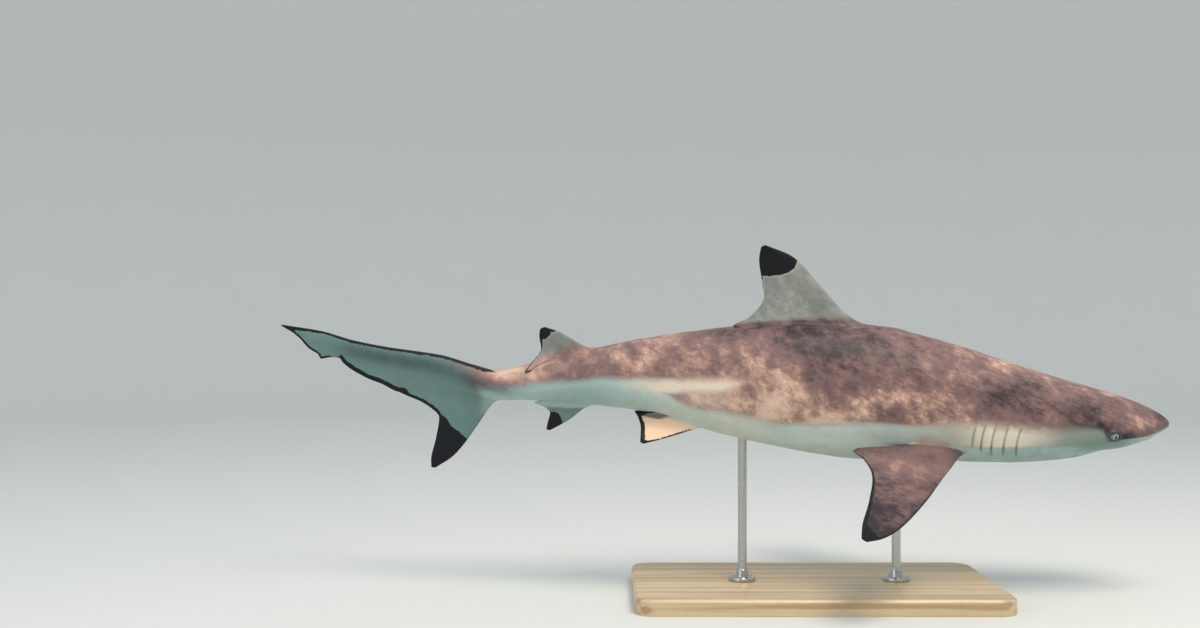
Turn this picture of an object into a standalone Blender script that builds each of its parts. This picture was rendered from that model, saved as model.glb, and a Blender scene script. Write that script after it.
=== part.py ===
"""A life-size blacktip reef shark (Carcharhinus melanopterus), swimming, on a plain display stand.

Every place on the shark is given as (t, y, h): t runs back from the tip of the snout along the
spine, y to the shark's left and h up, all three as a percentage of the total length. The shark is
made straight in those coordinates, then swim() bends it along its spine, in metres, with +X to the
snout, +Y to its left and +Z up. The empty shark_pose banks and pitches it above the stand. The
origin of the whole part is the middle of the underside of the stand's base.
"""

import math
from bisect import bisect

import bmesh
import bpy
from mathutils import Vector

# Driving dimensions, in metres and radians.
TOTAL_LENGTH = 1.40
PERCENT = TOTAL_LENGTH / 100
GAP = 0.0003
GAP_SHARE = GAP / PERCENT
EDGE = 0.0004 / PERCENT

SPINE_HEIGHT = 0.296
POSE_AT = 0.50 / PERCENT
POSE_X = 0.05
BANK = math.radians(14)
NOSE_DOWN = math.radians(3.2)
HEAD_TURN = math.radians(4)
HEAD_TURN_ENDS = 26
TAIL_TURN = math.radians(10)
TAIL_TURN_FROM = 44
TAIL_TURN_TO = 75

BASE_SIZE = (0.56, 0.30, 0.024)
BASE_CORNER = 0.03
BASE_EDGE = 0.003
BASE_CORNER_STEPS = 6
ROD_RADIUS = 0.007
ROD_FOOT_RADIUS = 0.021
ROD_FOOT_HEIGHT = 0.005
ROD_FOOT_BEVEL = 0.0015
ROD_STEPS = 20
ROD_PLACES = {"stand_rod_front": (0.13, 0.0), "stand_rod_rear": (-0.11, 0.0)}
ROD_TOP = 0.30

# Where the body is parted, in per cent of the length.
HEAD_ENDS = 17.4
GILLS_END = 23.8
TRUNK_PARTS = 44.0
TAIL_STARTS = 61.0
CAUDAL_STARTS = 75.2
BODY_ENDS = 100.9

ROUND_STEPS = 32
FOIL_STEPS = 9

for thing in list(bpy.data.objects):
    bpy.data.objects.remove(thing, do_unlink=True)


# --- curves ---------------------------------------------------------------------------------


def through(points, scale=lambda x: x):
    """A smooth curve y(x) through the points, which never swings past one between two others."""
    xs = [scale(x) for x, _ in points]
    ys = [y for _, y in points]
    rises = [(y1 - y0) / (x1 - x0) for x0, x1, y0, y1 in zip(xs, xs[1:], ys, ys[1:])]
    inner = [2 * a * b / (a + b) if a * b > 0 else 0.0 for a, b in zip(rises, rises[1:])]
    slopes = [rises[0], *inner, rises[-1]]

    def value(x):
        x = scale(x)
        i = min(max(bisect(xs, x) - 1, 0), len(xs) - 2)
        width = xs[i + 1] - xs[i]
        s = (x - xs[i]) / width
        return (
            ys[i] * (1 + 2 * s) * (1 - s) ** 2
            + slopes[i] * width * s * (1 - s) ** 2
            + ys[i + 1] * s * s * (3 - 2 * s)
            + slopes[i + 1] * width * s * s * (s - 1)
        )

    return value


def along_snout(t):
    """Profiles are read against the root of t, which makes the tip of the snout round."""
    return math.sqrt(max(t, 0.0))


def ease(x):
    x = min(max(x, 0.0), 1.0)
    return x * x * (3 - 2 * x)


# --- the body's lines -----------------------------------------------------------------------

# Height of the back and of the belly, half the width, and the height at which it is widest.
back = through(
    [(0, 0.3), (1, 1.3), (3.4, 2.3), (8, 3.5), (12.4, 4.5), (18, 5.95), (26, 8.05), (34, 9.35),
     (40, 9.4), (50, 8.05), (59, 6.13), (66, 4.0), (71, 2.3), (75.2, 0.95), (78, 1.4),
     (82, 2.15), (88, 2.4), (92, 2.75), (96.2, 3.5), (100.9, 3.75)],
    along_snout,
)
belly = through(
    [(0, 0.3), (1, -0.3), (3.4, -1.55), (5.6, -2.36), (8, -2.8), (12.4, -4.15), (18, -4.9), (26, -5.2),
     (34, -5.7), (42, -5.0), (51, -3.5), (59, -1.85), (66, -1.65), (71, -1.95), (75.2, -2.4),
     (79, -2.1), (86.4, -2.82), (88.75, -2.02), (90, -1.7), (91.3, -1.2), (92.4, -0.68),
     (93, -0.3), (93.45, 0.08), (93.75, 0.5), (94.6, 0.5), (95.6, 0.28), (96.05, 0.16),
     (96.4, 0.66), (97.1, 1.02), (97.6, 1.3), (98.6, 2.3), (99.6, 3.0), (100.9, 3.6)],
    along_snout,
)
half_width = through(
    [(0, 0.0), (1, 1.85), (3.4, 3.4), (8, 4.5), (12.4, 5.1), (20, 5.8), (30, 6.25), (38, 6.1),
     (48, 5.0), (59, 3.45), (67, 2.35), (75.2, 1.6), (79, 1.2), (86, 0.7), (92, 0.4),
     (100.9, 0.05)],
    along_snout,
)
widest_at = through(
    [(0, 0.3), (3.4, 0.1), (8, -0.3), (12.4, -0.8), (22, -0.4), (34, 0.9), (46, 1.3), (59, 1.7),
     (67, 0.9), (75.2, -0.6), (82, 0.6), (90, 1.3), (96.2, 2.6), (100.9, 3.68)],
)
# How square the underside is (2 is an ellipse), and how much thinner the tail is under its spine.
underside = through([(0, 2.0), (7, 2.7), (16, 2.5), (34, 2.2), (60, 2.0), (101, 2.0)])
web = through([(0, 1.0), (76, 1.0), (84, 0.45), (90, 0.25), (101, 0.6)])
SPINE_SHARE = 0.45


def skin_point(t, angle, grow=0.0):
    """The point (t, y, h) of the skin at this angle round the section, 0 at the back."""
    side, up = math.sin(angle), math.cos(angle)
    middle = widest_at(t)
    if up >= 0:
        reach, power, thin = back(t) - middle, 1.0, 1.0
    else:
        reach, power = middle - belly(t), 2 / underside(t)
        past_spine = abs(up) ** power / SPINE_SHARE
        thin = web(t) + (1 - web(t)) * math.exp(-past_spine * past_spine)
    out = half_width(t) * abs(side) ** power * thin + EDGE + grow
    rise = (reach + grow) * abs(up) ** power
    return Vector((t, math.copysign(out, side), middle + math.copysign(rise, up)))


def swim_tables():
    """The spine's heading, and its course ahead and to the left, every half per cent of length."""
    places, headings = [], []
    for step in range(-20, 231):
        t = step / 2
        head = HEAD_TURN * (1 - ease(t / HEAD_TURN_ENDS))
        tail = TAIL_TURN * ease((t - TAIL_TURN_FROM) / (TAIL_TURN_TO - TAIL_TURN_FROM))
        places.append(t)
        headings.append(head + tail)
    ahead, aside = [0.0], [0.0]
    for before, after in zip(headings, headings[1:]):
        turn = (before + after) / 2
        ahead.append(ahead[-1] - math.cos(turn) / 2 * PERCENT)
        aside.append(aside[-1] + math.sin(turn) / 2 * PERCENT)
    course = [through(list(zip(places, row))) for row in (headings, ahead, aside)]
    start = [row(POSE_AT) for row in course[1:]]
    return course, start


COURSE, START = swim_tables()


def swim(point):
    """The straight shark's (t, y, h) in metres on the bent spine."""
    t, y, h = point
    turn, ahead, aside = (row(t) for row in COURSE)
    out = y * PERCENT
    return Vector((
        ahead - START[0] + out * math.sin(turn),
        aside - START[1] + out * math.cos(turn),
        h * PERCENT,
    ))


# --- building -------------------------------------------------------------------------------

shark_pose = bpy.data.objects.new("shark_pose", None)
bpy.context.scene.collection.objects.link(shark_pose)
shark_pose.empty_display_size = 0.1
shark_pose.location = (POSE_X, 0.0, SPINE_HEIGHT)
shark_pose.rotation_euler = (BANK, NOSE_DOWN, 0.0)
bpy.context.view_layer.update()


def material(name, colour, roughness, metallic=0.0):
    made = bpy.data.materials.new(name)
    made.use_nodes = True
    shader = made.node_tree.nodes["Principled BSDF"]
    shader.inputs["Base Color"].default_value = (*colour, 1.0)
    shader.inputs["Roughness"].default_value = roughness
    shader.inputs["Metallic"].default_value = metallic
    return made


SHARK_SKIN = material("shark_skin", (0.25, 0.17, 0.13), 0.5)
BELLY_SKIN = material("belly_skin", (0.55, 0.56, 0.48), 0.5)
EYE_BALL = material("eye", (0.30, 0.33, 0.24), 0.08)
STAND_WOOD = material("stand_wood", (0.48, 0.37, 0.26), 0.45)
STAND_STEEL = material("stand_steel", (0.62, 0.62, 0.60), 0.28, 1.0)


def loft(rings, tip=None):
    """A closed mesh through rings of equal count, its first end at the point tip if there is one."""
    mesh = bmesh.new()
    loops = [[mesh.verts.new(point) for point in ring] for ring in rings]
    count = len(loops[0])
    for first, second in zip(loops, loops[1:]):
        for i in range(count):
            j = (i + 1) % count
            mesh.faces.new((first[i], first[j], second[j], second[i]))
    if tip is None:
        mesh.faces.new(loops[0])
    else:
        end = mesh.verts.new(tip)
        for i in range(count):
            mesh.faces.new((end, loops[0][(i + 1) % count], loops[0][i]))
    mesh.faces.new(loops[-1])
    bmesh.ops.recalc_face_normals(mesh, faces=mesh.faces)
    return mesh


def helper(name, mesh):
    """A short-lived object that a Boolean reads."""
    data = bpy.data.meshes.new(name)
    mesh.to_mesh(data)
    made = bpy.data.objects.new(name, data)
    made.hide_render = True
    made.display_type = "WIRE"
    bpy.context.scene.collection.objects.link(made)
    return made


def carve(mesh, cutter, operation="DIFFERENCE"):
    """The mesh after a Boolean with the cutter, keeping only its largest piece."""
    body, knife = helper("carved", mesh), helper("knife", cutter)
    step = body.modifiers.new("carve", "BOOLEAN")
    step.operation = operation
    step.solver = "EXACT"
    step.object = knife
    bpy.context.view_layer.update()
    result = bmesh.new()
    evaluated = body.evaluated_get(bpy.context.evaluated_depsgraph_get())
    result.from_mesh(evaluated.to_mesh())
    evaluated.to_mesh_clear()
    for made in (body, knife):
        bpy.data.objects.remove(made, do_unlink=True)
    keep_largest(result)
    bmesh.ops.dissolve_degenerate(result, dist=1e-5, edges=result.edges)
    return result


def keep_largest(mesh):
    unseen, pieces = set(mesh.verts), []
    while unseen:
        piece, edge_of_piece = set(), [unseen.pop()]
        while edge_of_piece:
            vert = edge_of_piece.pop()
            piece.add(vert)
            for edge in vert.link_edges:
                other = edge.other_vert(vert)
                if other in unseen:
                    unseen.remove(other)
                    edge_of_piece.append(other)
        pieces.append(piece)
    pieces.sort(key=len)
    for piece in pieces[:-1]:
        bmesh.ops.delete(mesh, geom=list(piece), context="VERTS")


def place(name, mesh, finish, origin, parent=None, sharp=40):
    """Makes the mesh an object of this name, with its own origin and material."""
    bmesh.ops.triangulate(mesh, faces=[face for face in mesh.faces if len(face.verts) > 4])
    for vert in mesh.verts:
        vert.co -= origin
    data = bpy.data.meshes.new(name)
    mesh.to_mesh(data)
    data.materials.append(finish)
    data.shade_smooth()
    data.set_sharp_from_angle(angle=math.radians(sharp))
    made = bpy.data.objects.new(name, data)
    made.location = origin
    made.parent = parent
    bpy.context.scene.collection.objects.link(made)
    return made


def place_on_shark(name, mesh, finish, root):
    """Bends a straight piece along the spine and hangs it on the posed shark at its root."""
    for vert in mesh.verts:
        vert.co = swim(vert.co)
    bmesh.ops.reverse_faces(mesh, faces=mesh.faces)
    return place(name, mesh, finish, swim(root), shark_pose)


# --- body -----------------------------------------------------------------------------------


def body_ring(t, grow=0.0):
    """One section, with a pair of points on each side of the back's and the belly's middle."""
    turn = 2 * math.pi / ROUND_STEPS
    return [skin_point(t, (i + 0.5) * turn, grow) for i in range(ROUND_STEPS)]


def stations(start, end, steps):
    """The sections' places along a length; they crowd towards the tip of the snout."""
    if start > 0:
        return [start + (end - start) * i / steps for i in range(steps + 1)]
    return [end * ((i + 1) / (steps + 1)) ** 2 for i in range(steps + 1)]


def between(places):
    """A length's sections, its ends drawn in so that neighbours keep their gap."""
    first = places[0] if places[0] < 1 else places[0] + GAP_SHARE / 2
    return [first, *places[1:-1], places[-1] - GAP_SHARE / 2]


def snout_tip(grow=0.0):
    return Vector((-EDGE - grow, 0.0, back(0)))


HEAD_STATIONS = stations(0.0, HEAD_ENDS, 11)
BODY_STATIONS = {
    "gill_region": stations(HEAD_ENDS, GILLS_END, 3),
    "trunk_front": stations(GILLS_END, TRUNK_PARTS, 7),
    "trunk_rear": stations(TRUNK_PARTS, TAIL_STARTS, 7),
    "tail_stalk": stations(TAIL_STARTS, CAUDAL_STARTS, 6),
    "caudal_upper_lobe": stations(CAUDAL_STARTS, 91.3, 9)
    + [92.4, 93.1, 93.75, 95.0, 96.1, 96.5, 97.6, 99.0, BODY_ENDS],
}
every_station = HEAD_STATIONS + [t for places in BODY_STATIONS.values() for t in places[1:]]
whole_body = loft([body_ring(t, GAP_SHARE) for t in every_station], snout_tip(GAP_SHARE))
for name, places in BODY_STATIONS.items():
    length = loft([body_ring(t) for t in between(places)])
    place_on_shark(name, length, SHARK_SKIN, Vector((places[0], 0, widest_at(places[0]))))


# --- head, lower jaw and eyes ---------------------------------------------------------------

MOUTH_FRONT = 6.7
MOUTH_CORNER = (10.9, 3.9)
MOUTH_ARC_POWER = 2.2
MOUTH_STEPS = 8
JAW_REAR = 13.2
JAW_REAR_BOW = 0.7
JAW_DEPTH_FRONT = -2.0
JAW_DEPTH_REAR = -3.2
JAW_BLOCK_HEIGHT = 6.0
EYE_RADIUS = 0.0125 / PERCENT
EYE_PLACE = (7.1, -0.22)
EYE_SUNK = 0.0092 / PERCENT


def jaw_block(grow):
    """The block under the mouth's arc that parts the lower jaw from the head."""
    corner_t, corner_y = MOUTH_CORNER
    outline = []
    for i in range(-MOUTH_STEPS, MOUTH_STEPS + 1):
        share = i / MOUTH_STEPS
        depth = (corner_t - MOUTH_FRONT) * abs(share) ** MOUTH_ARC_POWER
        outline.append((MOUTH_FRONT + depth - grow, share * (corner_y + grow)))
    for share in (1, 0.5, 0, -0.5, -1):
        outline.append((JAW_REAR - JAW_REAR_BOW * share**2 + grow, share * (corner_y + grow)))
    rings = []
    for drop in (JAW_BLOCK_HEIGHT, 0):
        ring = []
        for t, y in outline:
            slope = (t - MOUTH_FRONT) / (JAW_REAR - MOUTH_FRONT)
            top = JAW_DEPTH_FRONT + slope * (JAW_DEPTH_REAR - JAW_DEPTH_FRONT) + grow
            ring.append(Vector((t, y, top - drop)))
        rings.append(ring)
    return loft(rings)


def eye_centre(side):
    """The eyeball's centre, below the skin along the skin's own normal."""
    t, h = EYE_PLACE
    drop = (widest_at(t) - h) / (widest_at(t) - belly(t))
    angle = math.pi / 2 + math.asin(min(max(drop, -1.0), 1.0))
    here = skin_point(t, angle)
    ahead = skin_point(t - 0.5, angle) - here
    around = skin_point(t, angle + 0.1) - here
    out = ahead.cross(around).normalized()
    if out.y < 0:
        out = -out
    centre = here - out * EYE_SUNK
    return Vector((centre.x, side * centre.y, centre.z))


def ball(centre, radius, around=16, rings=10):
    mesh = bmesh.new()
    bmesh.ops.create_uvsphere(mesh, u_segments=around, v_segments=rings, radius=radius)
    bmesh.ops.translate(mesh, verts=mesh.verts, vec=centre)
    return mesh


head = loft([body_ring(t) for t in between(HEAD_STATIONS)], snout_tip())
lower_jaw = carve(head.copy(), jaw_block(0.0), "INTERSECT")
head = carve(head, jaw_block(GAP_SHARE))
SIDES = {"left": 1, "right": -1}
for side_name, side in SIDES.items():
    centre = eye_centre(side)
    head = carve(head, ball(centre, EYE_RADIUS + GAP_SHARE))
    place_on_shark("eye_" + side_name, ball(centre, EYE_RADIUS), EYE_BALL, centre)
place_on_shark("head", head, SHARK_SKIN, Vector((HEAD_ENDS, 0, widest_at(HEAD_ENDS))))
place_on_shark("lower_jaw", lower_jaw, BELLY_SKIN, Vector((JAW_REAR, 0, JAW_DEPTH_REAR)))


# --- fins -----------------------------------------------------------------------------------


def foil(v):
    """Half the thickness of a fin's section, as a share of its greatest, v from front to rear."""
    return 2.969 * math.sqrt(v) - 1.26 * v - 3.516 * v**2 + 2.843 * v**3 - 1.015 * v**4


def fin_mesh(lead, trail, thick, steps, root=(0, 0, 0), droop=0, rise=0, side=0, flop=None):
    """A fin from its front and rear edges, each a row of (share of the span, c, s).

    c runs back along the fin and s out along its span, from the root. A paired fin droops by an
    angle below level on its side of the body, and its chord rises to the rear; a middle fin (side
    0) stands in the shark's own plane of symmetry. The rear edge's second point is the free rear
    tip. thick is half the thickness at root and tip. flop is (start, furthest, aside, up): from
    start back, the thin rear lobe hangs over.
    """
    chord = Vector((math.cos(rise), 0, math.sin(rise)))
    span = Vector((0, side * math.cos(droop), -math.sin(droop))) if side else Vector((0, 0, 1))
    face = chord.cross(span).normalized()
    base = Vector((root[0], side * root[1], root[2]))
    edges = []
    for edge in (lead, trail):
        edges.append([through([(point[0], point[axis]) for point in edge]) for axis in (1, 2)])
    lobe = trail[1][0]
    shares = [0, lobe / 2] + [1 - (1 - lobe) * (1 - i / steps) ** 1.6 for i in range(steps + 1)]
    rings = []
    for u in shares:
        (c0, s0), (c1, s1) = ((row_c(u), row_s(u)) for row_c, row_s in edges)
        half = thick[0] + (thick[1] - thick[0]) * u
        upper, lower = [], []
        for i in range(FOIL_STEPS + 1):
            v = (1 - math.cos(math.pi * i / FOIL_STEPS)) / 2
            c, s = c0 + (c1 - c0) * v, s0 + (s1 - s0) * v
            out = half * foil(v) + EDGE
            middle = base + chord * c + span * s
            if flop and c > flop[0]:
                hang = ((c - flop[0]) / (flop[1] - flop[0])) ** 1.3 * (1 - u) ** 4
                middle += Vector((0, flop[2], flop[3])) * hang
            upper.append(middle + face * out)
            lower.append(middle - face * out)
        rings.append(upper + lower[::-1])
    return loft(rings)


def add_fin(name, finish=SHARK_SKIN, **shape):
    """Makes a fin, trims its root to the body and hangs it on the shark."""
    mesh = carve(fin_mesh(**shape), whole_body.copy())
    root = min((vert.co for vert in mesh.verts), key=lambda point: point.x).copy()
    place_on_shark(name, mesh, finish, root)


add_fin(
    "first_dorsal_fin",
    lead=[(0, 33.2, 8.0), (0.1, 36.0, 9.9), (0.45, 39.7, 13.5), (0.8, 43.2, 16.65), (1, 45.9, 17.6)],
    trail=[(0, 44.6, 7.2), (0.08, 48.9, 8.32), (0.18, 47.1, 9.55), (0.35, 45.7, 11.8),
           (0.5, 46.0, 13.3), (0.85, 46.6, 16.3), (1, 46.5, 17.35)],
    thick=(0.62, 0.12),
    steps=10,
)
add_fin(
    "second_dorsal_fin",
    lead=[(0, 63.6, 4.0), (0.3, 66.2, 5.4), (0.7, 68.0, 6.28), (1, 69.55, 6.62)],
    trail=[(0, 68.9, 2.4), (0.15, 71.4, 2.6), (0.3, 70.6, 3.2), (0.5, 69.95, 4.1),
           (0.8, 70.25, 5.6), (1, 70.2, 6.3)],
    thick=(0.34, 0.07),
    steps=7,
    flop=(69.0, 71.4, -3.0, -1.9),
)
add_fin(
    "anal_fin",
    lead=[(0, 62.6, -0.9), (0.25, 64.6, -2.2), (0.6, 66.3, -3.8), (1, 68.5, -5.35)],
    trail=[(0, 68.6, -1.2), (0.14, 70.5, -2.2), (0.3, 69.2, -2.7), (0.5, 68.6, -3.3),
           (0.8, 68.85, -4.6), (1, 68.95, -5.3)],
    thick=(0.34, 0.07),
    steps=7,
)
add_fin(
    "caudal_lower_lobe",
    lead=[(0, 74.6, -0.9), (0.15, 75.4, -2.7), (0.45, 77.2, -6.0), (0.8, 79.8, -9.8), (1, 81.9, -11.5)],
    trail=[(0, 88.6, -1.2), (0.12, 86.6, -2.75), (0.24, 83.4, -3.85), (0.36, 81.6, -5.3),
           (0.6, 81.9, -7.7), (0.88, 82.45, -10.6), (1, 82.4, -11.5)],
    thick=(0.42, 0.08),
    steps=10,
)
for side_name, side in SIDES.items():
    add_fin(
        "pectoral_fin_" + side_name,
        lead=[(0, -0.6, -2.6), (0.1, 0.3, -0.5), (0.35, 3.5, 4.75), (0.6, 6.25, 9.2), (0.85, 9.9, 14.0),
              (0.94, 11.5, 15.32), (1, 12.9, 16.0)],
        trail=[(0, 4.6, -3.6), (0.1, 6.6, -0.3), (0.22, 12.75, 2.65), (0.29, 11.75, 3.75),
               (0.4, 11.15, 5.8), (0.62, 12.0, 10.0), (0.87, 13.25, 14.0), (1, 13.55, 15.75)],
        thick=(0.62, 0.1),
        steps=11,
        root=(23.2, 5.3, -3.3),
        droop=math.radians(22),
        rise=math.radians(8),
        side=side,
    )
    add_fin(
        "pelvic_fin_" + side_name,
        finish=BELLY_SKIN,
        lead=[(0, -0.8, -1.6), (0.2, 0.6, 0.1), (0.6, 3.5, 1.7), (1, 6.1, 2.85)],
        trail=[(0, 4.2, -3.0), (0.14, 7.6, -1.6), (0.3, 7.1, -0.6), (0.6, 6.7, 0.8), (1, 6.6, 2.7)],
        thick=(0.36, 0.07),
        steps=6,
        root=(51.4, 2.5, -2.5),
        droop=math.radians(35),
        side=side,
    )


# --- display stand --------------------------------------------------------------------------


def base_mesh():
    """A flat slab with round corners and a fine bevel along its upper edge."""
    length, width, height = BASE_SIZE
    outline = []
    for quarter in range(4):
        centre_x = (length / 2 - BASE_CORNER) * (1 if quarter in (0, 3) else -1)
        centre_y = (width / 2 - BASE_CORNER) * (1 if quarter in (0, 1) else -1)
        for step in range(BASE_CORNER_STEPS + 1):
            angle = math.pi / 2 * (quarter + step / BASE_CORNER_STEPS)
            outline.append((centre_x, centre_y, math.cos(angle), math.sin(angle)))
    rings = []
    for inset, z in ((0, 0), (0, height - BASE_EDGE), (BASE_EDGE, height)):
        radius = BASE_CORNER - inset
        rings.append([Vector((x + radius * cos, y + radius * sin, z)) for x, y, cos, sin in outline])
    return loft(rings)


def rod_mesh(place_x, place_y):
    """A round rod with a turned foot, up into the belly."""
    low = BASE_SIZE[2] + GAP
    profile = [
        (ROD_FOOT_RADIUS, low),
        (ROD_FOOT_RADIUS, low + ROD_FOOT_HEIGHT - ROD_FOOT_BEVEL),
        (ROD_FOOT_RADIUS - ROD_FOOT_BEVEL, low + ROD_FOOT_HEIGHT),
        (ROD_RADIUS, low + ROD_FOOT_HEIGHT),
        (ROD_RADIUS, ROD_TOP),
    ]
    rings = []
    for radius, z in profile:
        ring = []
        for step in range(ROD_STEPS):
            angle = 2 * math.pi * step / ROD_STEPS
            x, y = place_x + radius * math.cos(angle), place_y + radius * math.sin(angle)
            ring.append(Vector((x, y, z)))
        rings.append(ring)
    return loft(rings)


place("stand_base", base_mesh(), STAND_WOOD, Vector((0, 0, 0)))
posed_body = whole_body.copy()
for vert in posed_body.verts:
    vert.co = shark_pose.matrix_world @ swim(vert.co)
bmesh.ops.reverse_faces(posed_body, faces=posed_body.faces)
for name, (place_x, place_y) in ROD_PLACES.items():
    rod = carve(rod_mesh(place_x, place_y), posed_body.copy())
    place(name, rod, STAND_STEEL, Vector((place_x, place_y, BASE_SIZE[2])))
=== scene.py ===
"""The looks of a life-size blacktip reef shark, swimming, held on a display stand by two rods.

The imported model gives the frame. One continuous skin stands for all of the shark's flesh; the
eyes, the stand's base, its rods and their screws are pieces of their own. On the shark a place is
(t, y, h): t runs back from the tip of the snout along the spine, y to the shark's left and h up,
in per cent of the total length on the straight fish; posed() bends it into the swimming pose.
"""

import math

import bmesh
import bpy
import numpy as np
from mathutils import Euler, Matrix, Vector
from mathutils.bvhtree import BVHTree


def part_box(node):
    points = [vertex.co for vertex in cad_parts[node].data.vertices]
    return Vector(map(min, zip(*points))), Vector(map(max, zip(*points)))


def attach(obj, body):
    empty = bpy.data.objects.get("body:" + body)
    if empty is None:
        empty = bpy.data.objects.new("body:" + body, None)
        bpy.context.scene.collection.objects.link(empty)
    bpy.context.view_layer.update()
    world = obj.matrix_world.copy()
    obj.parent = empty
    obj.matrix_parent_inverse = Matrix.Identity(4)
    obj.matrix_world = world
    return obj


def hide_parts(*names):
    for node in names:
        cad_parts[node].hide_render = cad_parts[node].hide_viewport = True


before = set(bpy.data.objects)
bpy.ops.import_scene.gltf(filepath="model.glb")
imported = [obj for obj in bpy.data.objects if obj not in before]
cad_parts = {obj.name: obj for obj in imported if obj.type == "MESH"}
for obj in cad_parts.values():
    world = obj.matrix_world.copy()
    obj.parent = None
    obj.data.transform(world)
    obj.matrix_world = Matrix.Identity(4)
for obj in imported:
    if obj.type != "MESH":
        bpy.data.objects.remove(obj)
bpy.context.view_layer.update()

# --- The skin -------------------------------------------------------------------------------
# The real piece is the whole hide of the shark: head, trunk, tail and fins in one, without a
# seam. It is made as one closed mesh: a sleeve of rings round the spine, with each fin and each
# eye socket grown out of a window in the sleeve, and mouth, nostrils and gill slits sunk in it.

# The total length in metres, a per cent of it in metres, and a millimetre in per cent of it.
TOTAL_LENGTH = 1.40
PERCENT = TOTAL_LENGTH / 100
MM = 0.1 / TOTAL_LENGTH
EDGE = 0.4 * MM
COLUMNS = 160
COLUMN_CROWDING = 0.25


def through(points, scale=lambda x: x):
    """A smooth curve y(x) through the points, which never swings past one between two others."""
    xs = scale(np.array([x for x, _ in points], float))
    ys = np.array([y for _, y in points], float)
    rises = np.diff(ys) / np.diff(xs)
    first, second = rises[:-1], rises[1:]
    same_way = first * second > 0
    total = np.where(same_way, first + second, 1.0)
    inner = np.where(same_way, 2 * first * second / total, 0.0)
    slopes = np.concatenate(([rises[0]], inner, [rises[-1]]))

    def value(x):
        x = scale(np.asarray(x, float))
        i = np.clip(np.searchsorted(xs, x, side="right") - 1, 0, len(xs) - 2)
        width = xs[i + 1] - xs[i]
        s = (x - xs[i]) / width
        return (
            ys[i] * (1 + 2 * s) * (1 - s) ** 2
            + slopes[i] * width * s * (1 - s) ** 2
            + ys[i + 1] * s * s * (3 - 2 * s)
            + slopes[i + 1] * width * s * s * (s - 1)
        )

    return value


def along_snout(t):
    """Profiles are read against the root of t, which makes the tip of the snout round."""
    return np.sqrt(np.maximum(t, 0.0))


def ease(x):
    """A soft step from 0 to 1 as x goes from 0 to 1."""
    x = np.clip(x, 0.0, 1.0)
    return x * x * (3 - 2 * x)


def between(x, start, fade_in, end, fade_out):
    """1 from start to end, but for a soft step just inside each, and 0 outside them."""
    return ease((x - start) / fade_in) * ease((end - x) / fade_out)


def hump(x, width):
    """A round bump, 1 at x = 0 and nearly gone at twice the width."""
    return np.exp(-((x / width) ** 2))


# The lines of the solid shark, in per cent of the length: back, belly, half the width, the height
# of the widest place, how square the underside is, and how thin the tail is under its spine.
back = through(
    [(0, 0.3), (1, 1.3), (3.4, 2.3), (8, 3.5), (12.4, 4.5), (18, 5.95), (26, 8.05), (34, 9.35),
     (40, 9.4), (50, 8.05), (59, 6.13), (66, 4.0), (71, 2.3), (75.2, 0.95), (78, 1.4),
     (82, 2.15), (88, 2.4), (92, 2.75), (96.2, 3.5), (100.9, 3.75)],
    along_snout,
)
belly = through(
    [(0, 0.3), (1, -0.3), (3.4, -1.55), (5.6, -2.36), (8, -2.8), (12.4, -4.15), (18, -4.9), (26, -5.2),
     (34, -5.7), (42, -5.0), (51, -3.5), (59, -1.85), (66, -1.65), (71, -1.95), (75.2, -2.4),
     (79, -2.1), (86.4, -2.82), (88.75, -2.02), (90, -1.7), (91.3, -1.2), (92.4, -0.68),
     (93, -0.3), (93.45, 0.08), (93.75, 0.5), (94.6, 0.5), (95.6, 0.28), (96.05, 0.16),
     (96.4, 0.66), (97.1, 1.02), (97.6, 1.3), (98.6, 2.3), (99.6, 3.0), (100.9, 3.6)],
    along_snout,
)
half_width = through(
    [(0, 0.0), (1, 1.85), (3.4, 3.4), (8, 4.5), (12.4, 5.1), (20, 5.8), (30, 6.25), (38, 6.1),
     (48, 5.0), (59, 3.45), (67, 2.35), (75.2, 1.6), (79, 1.2), (86, 0.7), (92, 0.4),
     (100.9, 0.05)],
    along_snout,
)
widest_at = through(
    [(0, 0.3), (3.4, 0.1), (8, -0.3), (12.4, -0.8), (22, -0.4), (34, 0.9), (46, 1.3), (59, 1.7),
     (67, 0.9), (75.2, -0.6), (82, 0.6), (90, 1.3), (96.2, 2.6), (100.9, 3.68)],
)
underside = through([(0, 2.0), (7, 2.7), (16, 2.5), (34, 2.2), (60, 2.0), (101, 2.0)])
web = through([(0, 1.0), (76, 1.0), (84, 0.45), (90, 0.25), (101, 0.6)])
SPINE_SHARE = 0.45
BODY_ENDS = 100.9


def sleeve_point(t, angle):
    """Points (t, y, h) of the plain skin at these angles round the section, 0 at the back."""
    t, angle = np.broadcast_arrays(np.asarray(t, float), np.asarray(angle, float))
    side, up = np.sin(angle), np.cos(angle)
    middle = widest_at(t)
    upper = up >= 0
    power = np.where(upper, 1.0, 2 / underside(t))
    reach = np.where(upper, back(t) - middle, middle - belly(t))
    past_spine = np.abs(up) ** power / SPINE_SHARE
    thin = np.where(upper, 1.0, web(t) + (1 - web(t)) * np.exp(-past_spine**2))
    out = half_width(t) * np.abs(side) ** power * thin + EDGE
    rise = reach * np.abs(up) ** power
    return np.stack([t, np.copysign(out, side), middle + np.copysign(rise, up)], axis=-1)


# The swimming pose: the spine's turns, then bank and dive above the stand.
SPINE_HEIGHT = 0.296
POSE_AT = 0.50 / PERCENT
POSE_X = 0.05
BANK = math.radians(14)
NOSE_DOWN = math.radians(3.2)
HEAD_TURN = math.radians(4)
HEAD_TURN_ENDS = 26
TAIL_TURN = math.radians(10)
TAIL_TURN_FROM = 44
TAIL_TURN_TO = 75

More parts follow.
